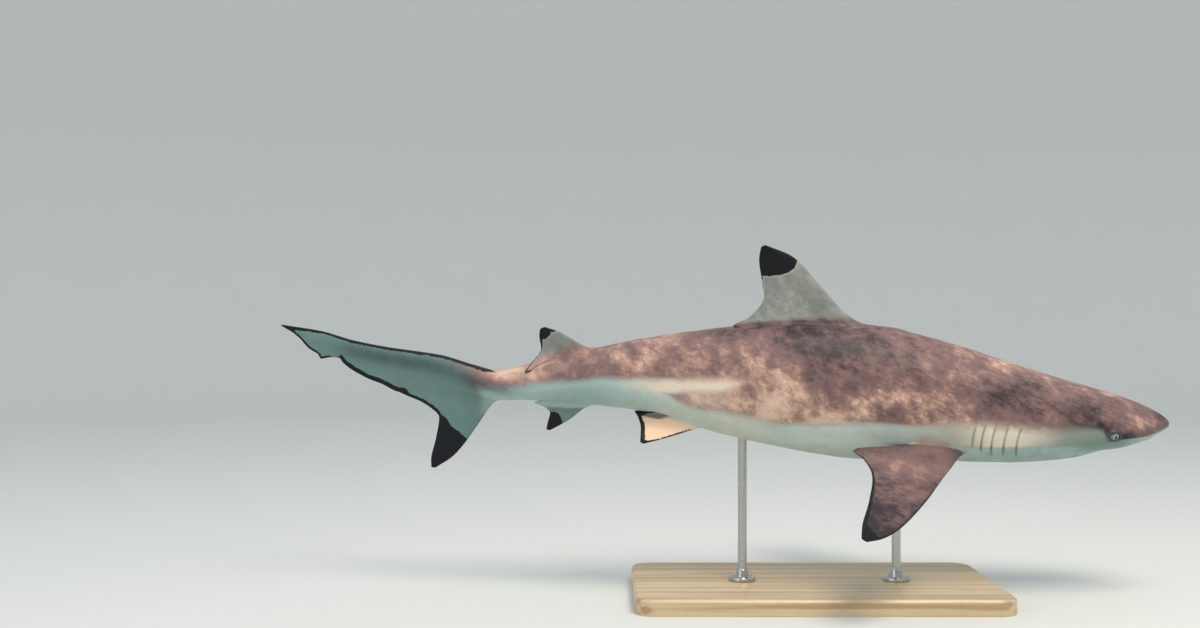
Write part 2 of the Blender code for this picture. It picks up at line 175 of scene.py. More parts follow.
spine_places = np.arange(-20, 231) / 2
spine_turns = HEAD_TURN * (1 - ease(spine_places / HEAD_TURN_ENDS)) + TAIL_TURN * ease(
    (spine_places - TAIL_TURN_FROM) / (TAIL_TURN_TO - TAIL_TURN_FROM)
)
mean_turns = (spine_turns[:-1] + spine_turns[1:]) / 2
spine_ahead = np.concatenate(([0], np.cumsum(-np.cos(mean_turns) / 2 * PERCENT)))
spine_aside = np.concatenate(([0], np.cumsum(np.sin(mean_turns) / 2 * PERCENT)))
turn_at, ahead_at, aside_at = (
    through(list(zip(spine_places, row))) for row in (spine_turns, spine_ahead, spine_aside)
)
lean = np.array(Euler((BANK, NOSE_DOWN, 0)).to_matrix())


def posed(places):
    """Straight places (t, y, h) in metres in the part's own frame, in the swimming pose."""
    t, y, h = np.moveaxis(np.asarray(places, float), -1, 0)
    turn, out = turn_at(t), y * PERCENT
    local = np.stack(
        [
            ahead_at(t) - ahead_at(POSE_AT) + out * np.sin(turn),
            aside_at(t) - aside_at(POSE_AT) + out * np.cos(turn),
            h * PERCENT,
        ],
        axis=-1,
    )
    return local @ lean.T + np.array([POSE_X, 0.0, SPINE_HEIGHT])


# The mouth lies along one row of the sleeve, bent back from its front, t, to its corners, (t, y).
# The rows between two others bend with it, up to an angle from the middle of the belly.
MOUTH_ROW = 8.6
MOUTH_FRONT = 6.7
MOUTH_CORNER = (10.9, 3.9)
MOUTH_ARC_POWER = 2.2
MOUTH_BENDS_ROWS = (3.0, 16.5)
MOUTH_BENDS_UP_TO = 2.3

# Each gill slit: its row, its length as a share of the longest, and how much higher its middle is.
GILL_SLITS = ((17.8, 0.94, 0), (19.25, 1.0, 0), (20.6, 0.98, 0.05), (21.75, 0.9, 0.2), (22.75, 0.74, 0.42))
NOTCHES = (93.6, 96.25)

# The rows are closest in the head, with more at the mouth, each gill slit and the notches in the
# tail's rear edge. The first eight crowd towards the tip of the snout.
row_step = through(
    [(0, 0.12), (5, 0.125), (7, 0.16), (22.8, 0.16), (24, 0.24), (32, 0.38), (62, 0.38), (72, 0.34),
     (101, 0.34)],
)
rows = [(0.11 * (i + 1)) ** 2 for i in range(8)]
while rows[-1] < BODY_ENDS:
    rows.append(rows[-1] + float(row_step(rows[-1])))
rows[-1] = BODY_ENDS
close_rows = [(MOUTH_ROW, 0.42, (-0.36, -0.25, -0.16, -0.08, 0, 0.08, 0.16, 0.25, 0.36))]
for gill_row, _, _ in GILL_SLITS:
    close_rows.append((gill_row, 0.3, (-0.22, -0.12, -0.05, 0.02, 0.09, 0.17, 0.26)))
for notch in NOTCHES:
    close_rows.append((notch, 0.5, (-0.45, -0.3, -0.18, -0.08, 0.02, 0.12, 0.24, 0.4)))
for centre, room, offsets in close_rows:
    rows = [t for t in rows if abs(t - centre) > room] + [centre + offset for offset in offsets]
rows = np.array(sorted(rows))
even_angles = (np.arange(COLUMNS) + 0.5) * 2 * math.pi / COLUMNS
column_angles = even_angles + COLUMN_CROWDING * np.sin(even_angles)


def mouth_shift():
    """How the mouth's row runs: its shift along t, its slant, and the share of the way to a corner."""
    corner_t, corner_y = MOUTH_CORNER

    # Each column's t on the row depends on its y there, and y on t, so they are found in turns.
    share = np.zeros(COLUMNS)
    for _ in range(12):
        t = MOUTH_FRONT + (corner_t - MOUTH_FRONT) * np.minimum(share, 1.0) ** MOUTH_ARC_POWER
        share = np.abs(sleeve_point(t, column_angles)[:, 1]) / corner_y
    share = np.where(np.cos(column_angles) > 0, 2.0, share)
    from_belly = np.abs(column_angles - math.pi)
    corner_angle = from_belly[share < 1].max()
    back_to_plain = ease((from_belly - corner_angle) / (MOUTH_BENDS_UP_TO - corner_angle))
    shift = np.where(share < 1, t - MOUTH_ROW, (corner_t - MOUTH_ROW) * (1 - back_to_plain))
    slope = (corner_t - MOUTH_FRONT) * MOUTH_ARC_POWER / corner_y
    slant = np.sqrt(1 + (slope * np.minimum(share, 1) ** (MOUTH_ARC_POWER - 1)) ** 2)
    slant = 1 + (slant - 1) * (1 - ease((share - 1) / 0.25))
    return shift, slant, share


shift, slant, mouth_share = mouth_shift()
bend_from, bend_to = MOUTH_BENDS_ROWS
near_mouth = np.where(
    rows < MOUTH_ROW,
    ease((rows - bend_from) / (MOUTH_ROW - bend_from)),
    ease((bend_to - rows) / (bend_to - MOUTH_ROW)),
)
from_mouth = rows - MOUTH_ROW
spread = from_mouth * hump(from_mouth, 0.6)

# The gill slits bow forward at both ends: the height of their middle, half their length, the bow.
GILL_MIDDLE = -1.35
GILL_REACH = 1.9
GILL_BOW = 0.32
MIDDLE_GILL_ROW = 20.3
plain_height = sleeve_point(np.full(COLUMNS, MIDDLE_GILL_ROW), column_angles)[:, 2]
gill_bow = -GILL_BOW * np.clip((plain_height - GILL_MIDDLE) / GILL_REACH, -1.2, 1.2) ** 2
near_gills = between(rows, 15.9, 1.7, 24.8, 1.6)
sleeve_t = (
    rows[:, None]
    + near_mouth[:, None] * shift
    + spread[:, None] * (slant - 1)
    + near_gills[:, None] * gill_bow
)
sleeve = sleeve_point(sleeve_t, column_angles[None, :])


def outward(grid):
    """Unit normals of the sleeve, pointing out of the body, in the straight fish's axes."""
    along = np.gradient(grid, axis=0)
    around = np.roll(grid, -1, axis=1) - np.roll(grid, 1, axis=1)
    normal = np.cross(around, along)
    normal /= np.maximum(np.linalg.norm(normal, axis=-1, keepdims=True), 1e-12)
    centre = np.stack([grid[..., 0], 0 * grid[..., 0], widest_at(grid[..., 0])], axis=-1)
    facing = np.sign(np.sum(normal * (grid - centre), axis=-1, keepdims=True))
    return normal * np.where(facing == 0, 1, facing)


# Furrows under the head: (start, end, depth, width, painted shade in it), places as (t, y) and sizes
# in mm. A negative depth is a flap or a lip. First those of the corner of the mouth, then the nostril's.
FURROWS = (
    (MOUTH_CORNER, (9.95, 4.3), 1.5, 1.6, 0.7),
    (MOUTH_CORNER, (11.7, 4.05), 1.1, 1.8, 0.5),
    ((2.75, 2.72), (3.65, 1.92), 2.8, 2.0, 1.0),
    ((2.5, 2.35), (3.2, 1.75), -1.0, 2.6, 0.0),
    ((2.98, 2.2), (3.36, 2.36), -1.3, 2.0, 0.0),
    ((3.2, 2.9), (4.0, 2.2), -0.5, 3.0, 0.0),
)

# Across the closed mouth, a deep fold between full lips: (mm out, mm behind its line, its reach).
# Across each gill slit, the slit and the skin behind it, in the same way.
MOUTH_FOLDS = ((-4.2, 0.0, 1.3), (1.0, -3.8, 2.4), (1.1, 4.2, 2.8))
GILL_FOLDS = ((-4.0, 1.0, 1.3), (0.5, 5.0, 2.5))
GILL_FLAP = 1.7

# Low swellings and dips on both flanks: (mm out, t, its reach, h, its reach). Jaw muscle, brow, the
# dip behind the eye, gill basket, shoulder, the flat of the rear flank, and the muscle over it.
SWELLINGS = (
    (1.5, 11.8, 2.6, -1.4, 1.7), (1.3, 7.2, 1.8, 1.3, 0.7), (-0.8, 9.6, 1.6, 0.7, 0.9),
    (1.1, 20.3, 3.4, -1.3, 2.6), (1.3, 25.6, 2.6, 1.2, 2.2), (-1.2, 52.5, 4.0, -1.6, 1.3),
    (0.6, 60.0, 7.0, 3.4, 1.0),
)


def furrow(place, start, end, width):
    """1 along a line under each side of the head, between two places (t, y), and less beside it."""
    start, run = np.array(start), np.subtract(end, start)
    there = np.stack([place[..., 0], np.abs(place[..., 1])], axis=-1) - start
    share = np.clip(there @ run / (run @ run), 0, 1)
    gap = np.linalg.norm(there - share[..., None] * run, axis=-1)
    return hump(gap / MM, width) * (np.cos(column_angles) < 0.1)


def relief(place):
    """How far the skin stands out in mm for its folds and muscles, and the painted shade in its creases.
    """
    t, y, h = np.moveaxis(place, -1, 0)
    out, crease = np.zeros(t.shape), np.zeros(t.shape)

    behind = from_mouth[:, None] / MM
    in_mouth = ((np.cos(column_angles) < 0) * (1 - ease((mouth_share - 0.98) / 0.1)))[None, :]
    for height, at, reach in MOUTH_FOLDS:
        out += height * in_mouth * hump(behind - at, reach)
    # The line of the mouth takes painted shade.
    crease = np.maximum(crease, in_mouth * hump(behind, 1.7))

    for start, end, depth, width, painted_shade in FURROWS:
        along = furrow(place, start, end, width)
        out -= depth * along
        crease = np.maximum(crease - (depth < 0) * along, painted_shade * along)

    # Five gill slits, each behind the free edge of a soft flap, with painted shade in each slit.
    for gill_row, length, higher in GILL_SLITS:
        behind = (rows - gill_row)[:, None] / MM
        open_here = ease((GILL_REACH * length - np.abs(h - (GILL_MIDDLE + higher))) / 0.6)
        out += GILL_FLAP * open_here * np.where(behind < 0, hump(behind, 7.0), hump(behind, 0.5))
        for height, at, reach in GILL_FOLDS:
            out += height * open_here * hump(behind - at, reach)
        crease = np.maximum(crease, 0.75 * open_here * hump(behind - 1.0, 1.3))

    for height, at_t, long, at_h, tall in SWELLINGS:
        out += height * (hump(t - at_t, long) * hump(h - at_h, tall))

    # The pits over and under the root of the tail, with painted shade in the upper one, and slight
    # unevenness of the flesh.
    pit = hump(t - 75.15 - 0.5 * y**2, 0.32) * hump(y, 0.85) * (h > widest_at(t))
    out -= 2.6 * pit + 1.4 * hump(t - 74.3, 0.3) * hump(y, 0.6) * (h < widest_at(t))
    crease = np.maximum(crease, 0.6 * pit)
    flesh = between(t, 14, 8, 76, 8)
    out += 0.35 * flesh * np.sin(0.9 * t + 1.3 * h) * np.sin(0.45 * t - 0.8 * h + 1.0)
    out += 0.22 * flesh * np.sin(2.3 * t - 1.1 * h + 0.6) * np.sin(0.9 * h + 0.31 * t)
    return out, crease


swelling, shade_in_creases = relief(sleeve)
skin_places = sleeve + outward(sleeve) * (swelling * MM)[..., None]

# The points of the skin, gathered piece by piece: where each is, where it was before relief and
# fillets, by which the markings go, and how much it is softened into a fillet.
BODY_POINTS = len(rows) * COLUMNS
gathered = {
    "place": [skin_places.reshape(-1, 3)],
    "plain": [sleeve.reshape(-1, 3)],
    "soften": [np.zeros(BODY_POINTS)],
}
window = np.zeros((len(rows) - 1, COLUMNS), bool)
grown_faces = []


def add_points(places, plain, soften):
    """Adds points to the skin and says which numbers they have."""
    start = sum(len(part) for part in gathered["place"])
    for name, values in (("place", places), ("plain", plain), ("soften", soften)):
        gathered[name].append(values)
    return list(range(start, start + len(places)))


def window_loop(first_row, last_row, first_column, last_column):
    """Opens a window in the sleeve. Its rim runs along the first row, then back on the far side."""
    window[first_row:last_row, np.arange(first_column, last_column) % COLUMNS] = True
    rim = [(first_row, j) for j in range(first_column, last_column)]
    rim += [(i, last_column) for i in range(first_row, last_row)]
    rim += [(last_row, j) for j in range(last_column, first_column, -1)]
    rim += [(i, first_column) for i in range(last_row, first_row, -1)]
    return [i * COLUMNS + j % COLUMNS for i, j in rim]


def bridge(first, second):
    """Faces between two rings of points of the same count."""
    count = len(first)
    for k in range(count):
        after = (k + 1) % count
        grown_faces.append((first[k], first[after], second[after], second[k]))


def zip_shut(ring, across, along):
    """Closes the last ring of a fin, whose two faces lie against each other."""
    count = len(ring)
    grown_faces.append(tuple(ring[: across + 1]))
    grown_faces.append(tuple(ring[across + along : 2 * across + along + 1]))
    for step in range(along):
        near, far = across + step, 2 * across + along + (along - step)
        grown_faces.append((ring[near], ring[near + 1], ring[far - 1], ring[far % count]))


def foil(v):
    """Half the thickness of a fin's section, as a share of its greatest, v from front to rear."""
    return 2.969 * np.sqrt(v) - 1.26 * v - 3.516 * v**2 + 2.843 * v**3 - 1.015 * v**4


fins = {}


def grow_fin(name, lead, trail, thick, window_t, middle_angle, half_columns, start, fillet,
             spacing, root=(0, 0, 0), droop=0.0, rise=0.0, side=0, flop=None):
    """Grows a fin from a window in the sleeve.

    lead and trail are its edges, each a row of (share of the span, c, s): c runs back along the
    fin and s out along its span, from the root. A paired fin droops by an angle below level on
    its side, and its chord rises to the rear. The rear edge's second point is the free rear tip.
    The fin leaves the body at the share start, and its fillet ends at the share fillet. flop is
    (start, furthest, aside, up): from start back, the thin rear lobe hangs over.
    """
    chord = np.array([math.cos(rise), 0, math.sin(rise)])
    span = np.array([0, side * math.cos(droop), -math.sin(droop)]) if side else np.array([0, 0, 1.0])
    face = np.cross(chord, span)
    base = np.array([root[0], side * root[1], root[2]])
    curves = [through([(u, c) for u, c, _ in edge]) for edge in (lead, trail)]
    curves += [through([(u, s) for u, _, s in edge]) for edge in (lead, trail)]
    lead_c, trail_c, lead_s, trail_s = curves

    # The window that the fin grows from, and which way its rim runs round the fin.
    first_row, last_row = (int(np.abs(rows - t).argmin()) for t in window_t)
    middle_column = np.abs(column_angles - middle_angle).argmin() if middle_angle else 0
    first_column = int(middle_column) - half_columns
    across, along = 2 * half_columns - 1, last_row - first_row
    rim = window_loop(first_row, last_row, first_column, first_column + across)
    rim_places = skin_places.reshape(-1, 3)[rim]
    far_side = rim_places[across + along // 2] - rim_places[2 * across + along + along // 2]
    turn = 1.0 if far_side @ face > 0 else -1.0

    # Round the section, as the rim runs: over the front edge, back, over the rear edge, forward.
    nose = np.linspace(-1, 1, across + 1)[:-1]
    flank = NOSE_SHARE + (1 - NOSE_SHARE) * (np.arange(along) / along) ** 1.15
    heel = np.linspace(math.pi / 2, -math.pi / 2, across + 1)[:-1]
    v = np.concatenate([NOSE_SHARE * nose**2, flank, np.ones(across), 1 - (flank - NOSE_SHARE)])
    v[2 * across + along :] = np.concatenate(([1.0], flank[:0:-1]))
    facing = turn * np.concatenate([nose, np.ones(along), np.sin(heel), -np.ones(along)])
    round_heel = np.concatenate([np.zeros(across + along), np.cos(heel), np.zeros(along)])

    def ring(u, inset=0.0, beyond=0.0):
        """The fin's section at one share of its span, drawn in and moved out at its very tip."""
        c0, c1, s0, s1 = lead_c(u), trail_c(u), lead_s(u), trail_s(u)
        half = thick[0] + (thick[1] - thick[0]) * u
        out = facing * (half * foil(v) + EDGE) * (1 - inset)
        w = 0.5 + (v - 0.5) * (1 - inset)
        c = c0 + (c1 - c0) * w + round_heel * EDGE
        s = s0 + (s1 - s0) * w + beyond
        flat = np.stack([c, s], axis=-1)
        place = base + np.outer(c, chord) + np.outer(s, span)
        if flop:
            hang = (np.maximum(c - flop[0], 0) / (flop[1] - flop[0])) ** 1.3 * (1 - u) ** 4
            place += np.outer(hang, [0, flop[2], flop[3]])
        return place + np.outer(out, face), flat

    # The sections from the body to the tip, close together up to the free rear tip. Those near the
    # body are drawn to the window's rim, the front more than the rear, which makes a fillet.
    lobe = max(trail[1][0], start + 0.02)
    reach = math.dist((lead_c(start), lead_s(start)), (lead_c(1), lead_s(1)))
    steps = int(reach / spacing)
    shares = list(np.linspace(start, lobe, 5)[1:])
    shares += [lobe + (1 - lobe) * (1 - (1 - i / steps) ** 1.3) for i in range(1, steps + 1)]
    plain_start, _ = ring(start)
    offset = rim_places - plain_start
    lengthwise = np.outer(offset @ chord, chord)
    last, flats = rim, []
    ring_shares, ring_numbers = [], []
    for u in shares:
        place, flat = ring(u)
        along_fillet = min((u - start) / (fillet - start), 1.0)
        fade = (1 - along_fillet) ** 3 * np.ones(len(v))
        fade_back = max(0.0, 1 - (u - start) / (lobe - start))
        fade_length = fade * (1 - v) + fade_back * v
        fade_rest = fade * (1 - v**6) + fade_back**2 * v**6
        plain = place.copy()
        place = place + lengthwise * fade_length[:, None]
        place += (offset - lengthwise) * fade_rest[:, None]
        new = add_points(place, plain, fade * (1 - v**6))
        bridge(last, new)
        last = new
        flats.append(flat)
        ring_shares.append(np.full(len(v), u))
        ring_numbers += new

    # The rounded tip: sections that close in over it.
    for tilt in (30, 55, 75, 88):
        inset, beyond = 1 - math.cos(math.radians(tilt)), math.sin(math.radians(tilt))
        place, flat = ring(1.0, inset, beyond * TIP_ROUNDING)
        new = add_points(place, place, np.zeros(len(v)))
        bridge(last, new)
        last = new
        flats.append(flat)
        ring_shares.append(np.ones(len(v)))
        ring_numbers += new
    zip_shut(last, across, along)

    # What the markings need to know of each point, and the two edges as lines.
    shares_along = np.linspace(0, 1, 160)
    fins[name] = {
        "points": np.array(ring_numbers),
        "flat": np.concatenate(flats),
        "share": np.concatenate(ring_shares),
        "chordwise": np.tile(v, len(flats)),
        "facing": np.tile(facing, len(flats)),
        "trail": np.stack([trail_c(shares_along), trail_s(shares_along)], axis=-1),
        "lead": np.stack([lead_c(shares_along), lead_s(shares_along)], axis=-1),
    }


NOSE_SHARE = 0.02
TIP_ROUNDING = 0.12
FIN_SPACING = 0.31

grow_fin(
    "first_dorsal_fin",
    lead=[(0, 33.2, 8.0), (0.1, 36.0, 9.9), (0.45, 39.7, 13.5), (0.8, 43.2, 16.65), (1, 45.9, 17.6)],
    trail=[(0, 44.6, 7.2), (0.08, 48.9, 8.32), (0.18, 47.1, 9.55), (0.35, 45.7, 11.8),
           (0.5, 46.0, 13.3), (0.85, 46.6, 16.3), (1, 46.5, 17.35)],
    thick=(0.62, 0.12), window_t=(34.3, 47.6), middle_angle=0, half_columns=4,
    start=0.065, fillet=0.2, spacing=FIN_SPACING,
)
grow_fin(
    "second_dorsal_fin",
    lead=[(0, 63.6, 4.0), (0.3, 66.2, 5.4), (0.7, 68.0, 6.28), (1, 69.55, 6.62)],
    trail=[(0, 68.9, 2.4), (0.15, 71.4, 2.6), (0.3, 70.6, 3.2), (0.5, 69.95, 4.1),
           (0.8, 70.25, 5.6), (1, 70.2, 6.3)],
    thick=(0.34, 0.07), window_t=(64.2, 69.6), middle_angle=0, half_columns=5,
    start=0.06, fillet=0.4, spacing=0.2, flop=(69.0, 71.4, -3.0, -1.9),
)
grow_fin(
    "anal_fin",
    lead=[(0, 62.6, -0.9), (0.25, 64.6, -2.2), (0.6, 66.3, -3.8), (1, 68.5, -5.35)],
    trail=[(0, 68.6, -1.2), (0.14, 70.5, -2.2), (0.3, 69.2, -2.7), (0.5, 68.6, -3.3),
           (0.8, 68.85, -4.6), (1, 68.95, -5.3)],
    thick=(0.34, 0.07), window_t=(63.0, 69.2), middle_angle=math.pi, half_columns=6,
    start=0.1, fillet=0.35, spacing=0.2,
)
grow_fin(
    "caudal_lower_lobe",
    lead=[(0, 74.6, -0.9), (0.15, 75.4, -2.7), (0.45, 77.2, -6.0), (0.8, 79.8, -9.8), (1, 81.9, -11.5)],
    trail=[(0, 88.6, -1.2), (0.12, 86.6, -2.75), (0.24, 83.4, -3.85), (0.36, 81.6, -5.3),
           (0.6, 81.9, -7.7), (0.88, 82.45, -10.6), (1, 82.4, -11.5)],
    thick=(0.42, 0.08), window_t=(75.0, 86.6), middle_angle=math.pi, half_columns=7,
    start=0.11, fillet=0.3, spacing=FIN_SPACING,
)
SIDES = {"left": 1, "right": -1}
for side_name, side in SIDES.items():
    grow_fin(
        "pectoral_fin_" + side_name,
        lead=[(0, -0.6, -2.6), (0.1, 0.3, -0.5), (0.35, 3.5, 4.75), (0.6, 6.25, 9.2), (0.85, 9.9, 14.0),
              (0.94, 11.5, 15.32), (1, 12.9, 16.0)],
        trail=[(0, 4.6, -3.6), (0.1, 6.6, -0.3), (0.22, 12.75, 2.65), (0.29, 11.75, 3.75),
               (0.4, 11.15, 5.8), (0.62, 12.0, 10.0), (0.87, 13.25, 14.0), (1, 13.55, 15.75)],
        thick=(0.62, 0.1), window_t=(23.9, 29.2), middle_angle=math.pi - side * (math.pi - 2.12),
        half_columns=5, start=0.13, fillet=0.27, spacing=FIN_SPACING,
        root=(23.2, 5.3, -3.3), droop=math.radians(22), rise=math.radians(8), side=side,
    )
    grow_fin(
        "pelvic_fin_" + side_name,
        lead=[(0, -0.8, -1.6), (0.2, 0.6, 0.1), (0.6, 3.5, 1.7), (1, 6.1, 2.85)],
        trail=[(0, 4.2, -3.0), (0.14, 7.6, -1.6), (0.3, 7.1, -0.6), (0.6, 6.7, 0.8), (1, 6.6, 2.7)],
        thick=(0.36, 0.07), window_t=(51.4, 56.6), middle_angle=math.pi - side * (math.pi - 2.55),
        half_columns=5, start=0.14, fillet=0.45, spacing=0.2,
        root=(51.4, 2.5, -2.5), droop=math.radians(35), side=side,
    )

# The eyes' sockets: lids round a level oval opening, which turn in over the eyeball and line the
# socket behind it. Places here are from the eyeball's centre: back, up and out of the head, in mm.
# The lids lie within so many rows and columns of the sleeve.
EYE_RADIUS = 12.5
EYE_PLACE = (7.1, -0.22)
EYE_SUNK = 9.2
EYE_OPENING = (8.5, 6.1)
OPENING_TILT = 0.35
LIDS_REACH = (15.5, 13.0)
LID_CREST = (1.7, 1.45)
LID_STEPS = 9
LID_CLEARANCE = 0.3
SOCKET_STEPS = 7
SOCKET_CLOSES_AT = 0.94 * math.pi
LIDS_WITHIN = (40, 20)

# Folds of the lower lid: (mm out, share of the way to the crest, their reach).
LOWER_LID_FOLDS = ((-0.75, 0.66, 0.12), (0.35, 0.86, 0.10))

# The lids' edge from the crest into the socket, as the crest: (mm outside the opening, mm off the
# eyeball).
LID_EDGE = ((0.8, 1.4), (0.25, 1.15), (0.0, 0.8), (0.1, 0.45), (0.8, 0.3), (2.0, 0.3))
# The socket's lining takes the painted shade of the lids' gap in full.
IN_SOCKET = -9.0
lid_gap = {}


def eye_frame(side):
    """The eyeball's centre, and the directions back, up and out at that eye."""
    t, h = EYE_PLACE
    drop = (widest_at(t) - h) / (widest_at(t) - belly(t))
    angle = math.pi / 2 + math.asin(min(max(drop, -1.0), 1.0))
    here = sleeve_point(t, angle)
    out = np.cross(sleeve_point(t - 0.5, angle) - here, sleeve_point(t, angle + 0.1) - here)
    out *= np.sign(out[1]) / np.linalg.norm(out)
    centre = here - out * EYE_SUNK * MM
    mirror = np.array([1, side, 1])
    centre, out = centre * mirror, out * mirror
    rearward = np.array([1.0, 0, 0]) - out[0] * out
    rearward /= np.linalg.norm(rearward)
    upward = np.cross(out, rearward)
    upward *= np.sign(upward[2])
    return centre, rearward, upward, out, math.pi - side * (math.pi - angle)


def line_socket(side):
    """Opens the skin at one eye, and grows its lids and the lining of its socket."""
    centre, rearward, upward, out, angle = eye_frame(side)
    axes = np.stack([rearward, upward, out])
    column = int(np.abs(column_angles - angle).argmin())
    row = int(np.abs(sleeve_t[:, column] - EYE_PLACE[0]).argmin())
    local = (skin_places - centre) @ axes.T / MM
    reach_along, reach_up = LIDS_REACH
    within_rows, within_columns = LIDS_WITHIN
    rows_in = np.nonzero(np.abs(local[:, column, 0]) < reach_along)[0]
    rows_in = rows_in[np.abs(rows_in - row) < within_rows]
    columns_in = np.arange(column - within_columns, column + within_columns + 1)
    columns_in = columns_in[np.abs(local[row, columns_in % COLUMNS, 1]) < reach_up]
    rim = window_loop(rows_in[0], rows_in[-1], columns_in[0], columns_in[-1])
    start = local.reshape(-1, 3)[rim]
    normals = (outward(sleeve).reshape(-1, 3)[rim]) @ axes.T
    turn = np.arctan2(start[:, 1] / reach_up, start[:, 0] / reach_along)
    opening = np.stack([EYE_OPENING[0] * np.cos(turn), EYE_OPENING[1] * np.sin(turn)], axis=-1)
    opening[:, 1] += OPENING_TILT * np.cos(turn)
    away = np.linalg.norm(opening, axis=-1)

    def on_ball(beyond, thickness):
        """Points this far outside the opening, on a ball this much larger than the eye."""
        flat = opening * ((away + beyond) / away)[:, None]
        height = np.sqrt((EYE_RADIUS + thickness) ** 2 - (flat**2).sum(axis=-1))
        return np.concatenate([flat, height[:, None]], axis=-1)

    # The lids: smooth curves from the window's rim to the crest, with a shallow groove under the
    # lower lid. Then the lids' edge, and the lining behind the eyeball.
    lip = on_ball(*LID_CREST)
    over_lip = on_ball(*LID_EDGE[0]) - lip
    leap = lip - start
    length = np.linalg.norm(leap, axis=-1, keepdims=True)
    leave = leap - (leap * normals).sum(axis=-1, keepdims=True) * normals
    arrive = over_lip / np.linalg.norm(over_lip, axis=-1, keepdims=True) * length
    low = ease(-np.sin(turn) * 1.4)[:, None] * np.array([0, 0, 1.0])
    rings = []
    for step in range(1, LID_STEPS + 1):
        s = step / LID_STEPS
        place = (
            start * (1 + 2 * s) * (1 - s) ** 2 + leave * s * (1 - s) ** 2
            + lip * s * s * (3 - 2 * s) + arrive * s * s * (s - 1)
        )
        for height, at, reach in LOWER_LID_FOLDS:
            place = place + height * hump(s - at, reach) * low
        # Each ring keeps a gap in mm for the painted shade at the lids' edge, less under the lower lid,
        # where the shade is wider.
        rings.append((place, (1 - s) * length[:, 0] + LID_CREST[0] - 1.1 * low[:, 2]))
    for beyond, thickness in LID_EDGE:
        rings.append((on_ball(beyond, thickness), beyond * np.ones(len(rim))))
    behind = np.arctan2(np.linalg.norm(rings[-1][0][:, :2], axis=-1), rings[-1][0][:, 2])
    compass = np.arctan2(opening[:, 1], opening[:, 0])
    lining = EYE_RADIUS + LID_CLEARANCE
    for step in range(1, SOCKET_STEPS + 1):
        polar = behind + (SOCKET_CLOSES_AT - behind) * step / SOCKET_STEPS
        sideways = lining * np.sin(polar)
        place = np.stack(
            [sideways * np.cos(compass), sideways * np.sin(compass), lining * np.cos(polar)], axis=-1
        )
        rings.append((place, IN_SOCKET * np.ones(len(rim))))
    last = rim
    for place, gap in rings:
        straight = centre + place @ axes * MM
        new = add_points(straight, straight, np.zeros(len(rim)))
        lid_gap.update(zip(new, gap))
        bridge(last, new)
        last = new
    pole = centre - out * lining * MM
    (end,) = add_points(pole[None], pole[None], np.zeros(1))
    lid_gap[end] = IN_SOCKET
    for k, point in enumerate(last):
        grown_faces.append((point, last[(k + 1) % len(last)], end))


for side in SIDES.values():
    line_socket(side)

# The ends of the sleeve, and its faces outside the windows.
tip_place = np.array([[-EDGE, 0.0, float(back(0))]])
(snout_tip,) = add_points(tip_place, tip_place, np.zeros(1))
for j in range(COLUMNS):
    grown_faces.append((snout_tip, j, (j + 1) % COLUMNS))
last_ring = (len(rows) - 1) * COLUMNS
for j in range(COLUMNS // 2 - 1):
    grown_faces.append(tuple(last_ring + k for k in (j, j + 1, COLUMNS - 2 - j, COLUMNS - 1 - j)))
i, j = np.nonzero(~window)
after = (j + 1) % COLUMNS
sleeve_faces = np.stack(
    [i * COLUMNS + j, i * COLUMNS + after, (i + 1) * COLUMNS + after, (i + 1) * COLUMNS + j], axis=-1
)
skin_faces = [tuple(face) for face in sleeve_faces.tolist()] + grown_faces
places, plain_places, soften = (np.concatenate(parts) for parts in gathered.values())
used = np.zeros(len(places), bool)
used[np.concatenate([np.array(face) for face in skin_faces])] = True
renumber = np.cumsum(used) - 1


def face_edges(faces):
    """Each pair of neighbouring points once."""
    pairs = {tuple(sorted((a, b))) for face in faces for a, b in zip(face, face[1:] + face[:1])}
    return np.array(sorted(pairs))


edges = face_edges(skin_faces)

# How many edges the softness of a fillet reaches into the sleeve, and how often it is relaxed.
SOFT_REACH = 9
SOFT_PASSES = 45


def spread_softness(weights, steps):
    """Lets the softness of the fins' roots fade out into the sleeve, a little less at each edge."""
    weights = weights.copy()
    for _ in range(steps):
        reach = weights.copy()
        for here, there in ((0, 1), (1, 0)):
            np.maximum.at(reach, edges[:, here], weights[edges[:, there]] - 1 / steps)
        weights = np.maximum(weights, reach)
    return weights


def relax(places, weights, passes):
    """Moves each point towards the mean of its neighbours, by its weight, to round the fillets."""
    count = np.bincount(edges.ravel(), minlength=len(places))[:, None]
    count = np.maximum(count, 1)
    for _ in range(passes):
        total = np.zeros_like(places)
        for here, there in ((0, 1), (1, 0)):
            np.add.at(total, edges[:, here], places[edges[:, there]])
        places = places + 0.5 * weights[:, None] * (total / count - places)
    return places


softness = spread_softness(soften, SOFT_REACH)
places = relax(places, softness, SOFT_PASSES)

# The markings. Borders are kept as a distance in mm inside them, so that they can be crisp or soft.
# The brown of the back ends at a height, more or less softly. Under it on the rear flank runs a
# cream band, and under that a tongue of brown. The cheek is tinted down to a line.
dark_from_below = through(
    [(0, 0.55), (1.3, 0.24), (2.3, -0.05), (2.9, -0.22), (4.1, -0.42), (5.3, -0.57), (6.3, -0.68),
     (7.3, -0.78), (7.9, -0.35), (8.5, 0.3), (9.3, 0.4), (11, 0.35), (14.5, 0.15), (18, 0.4),
     (25, 0.6), (27.5, 0.4), (29, 0.2), (33, 0.25), (37.5, -0.05), (41.5, -0.4), (43.5, -0.4),
     (46, 2.2), (48, 3.5), (52, 3.3), (56, 2.9), (60.3, 2.45), (63, 2.2), (65, 1.6), (68.3, 0.95),
     (71.7, 0.0), (74, -0.5), (78, -1.0), (101, -1.0)],
)
blend_share = through(
    [(0, 0.15), (6.8, 0.18), (8.3, 0.5), (11, 0.8), (17, 1.3), (25, 1.2), (28, 0.5), (30, 0.35),
     (42, 0.4), (45, 0.8), (50, 1.0), (58, 0.75), (66, 0.8), (74, 1.0), (101, 1.0)],
)
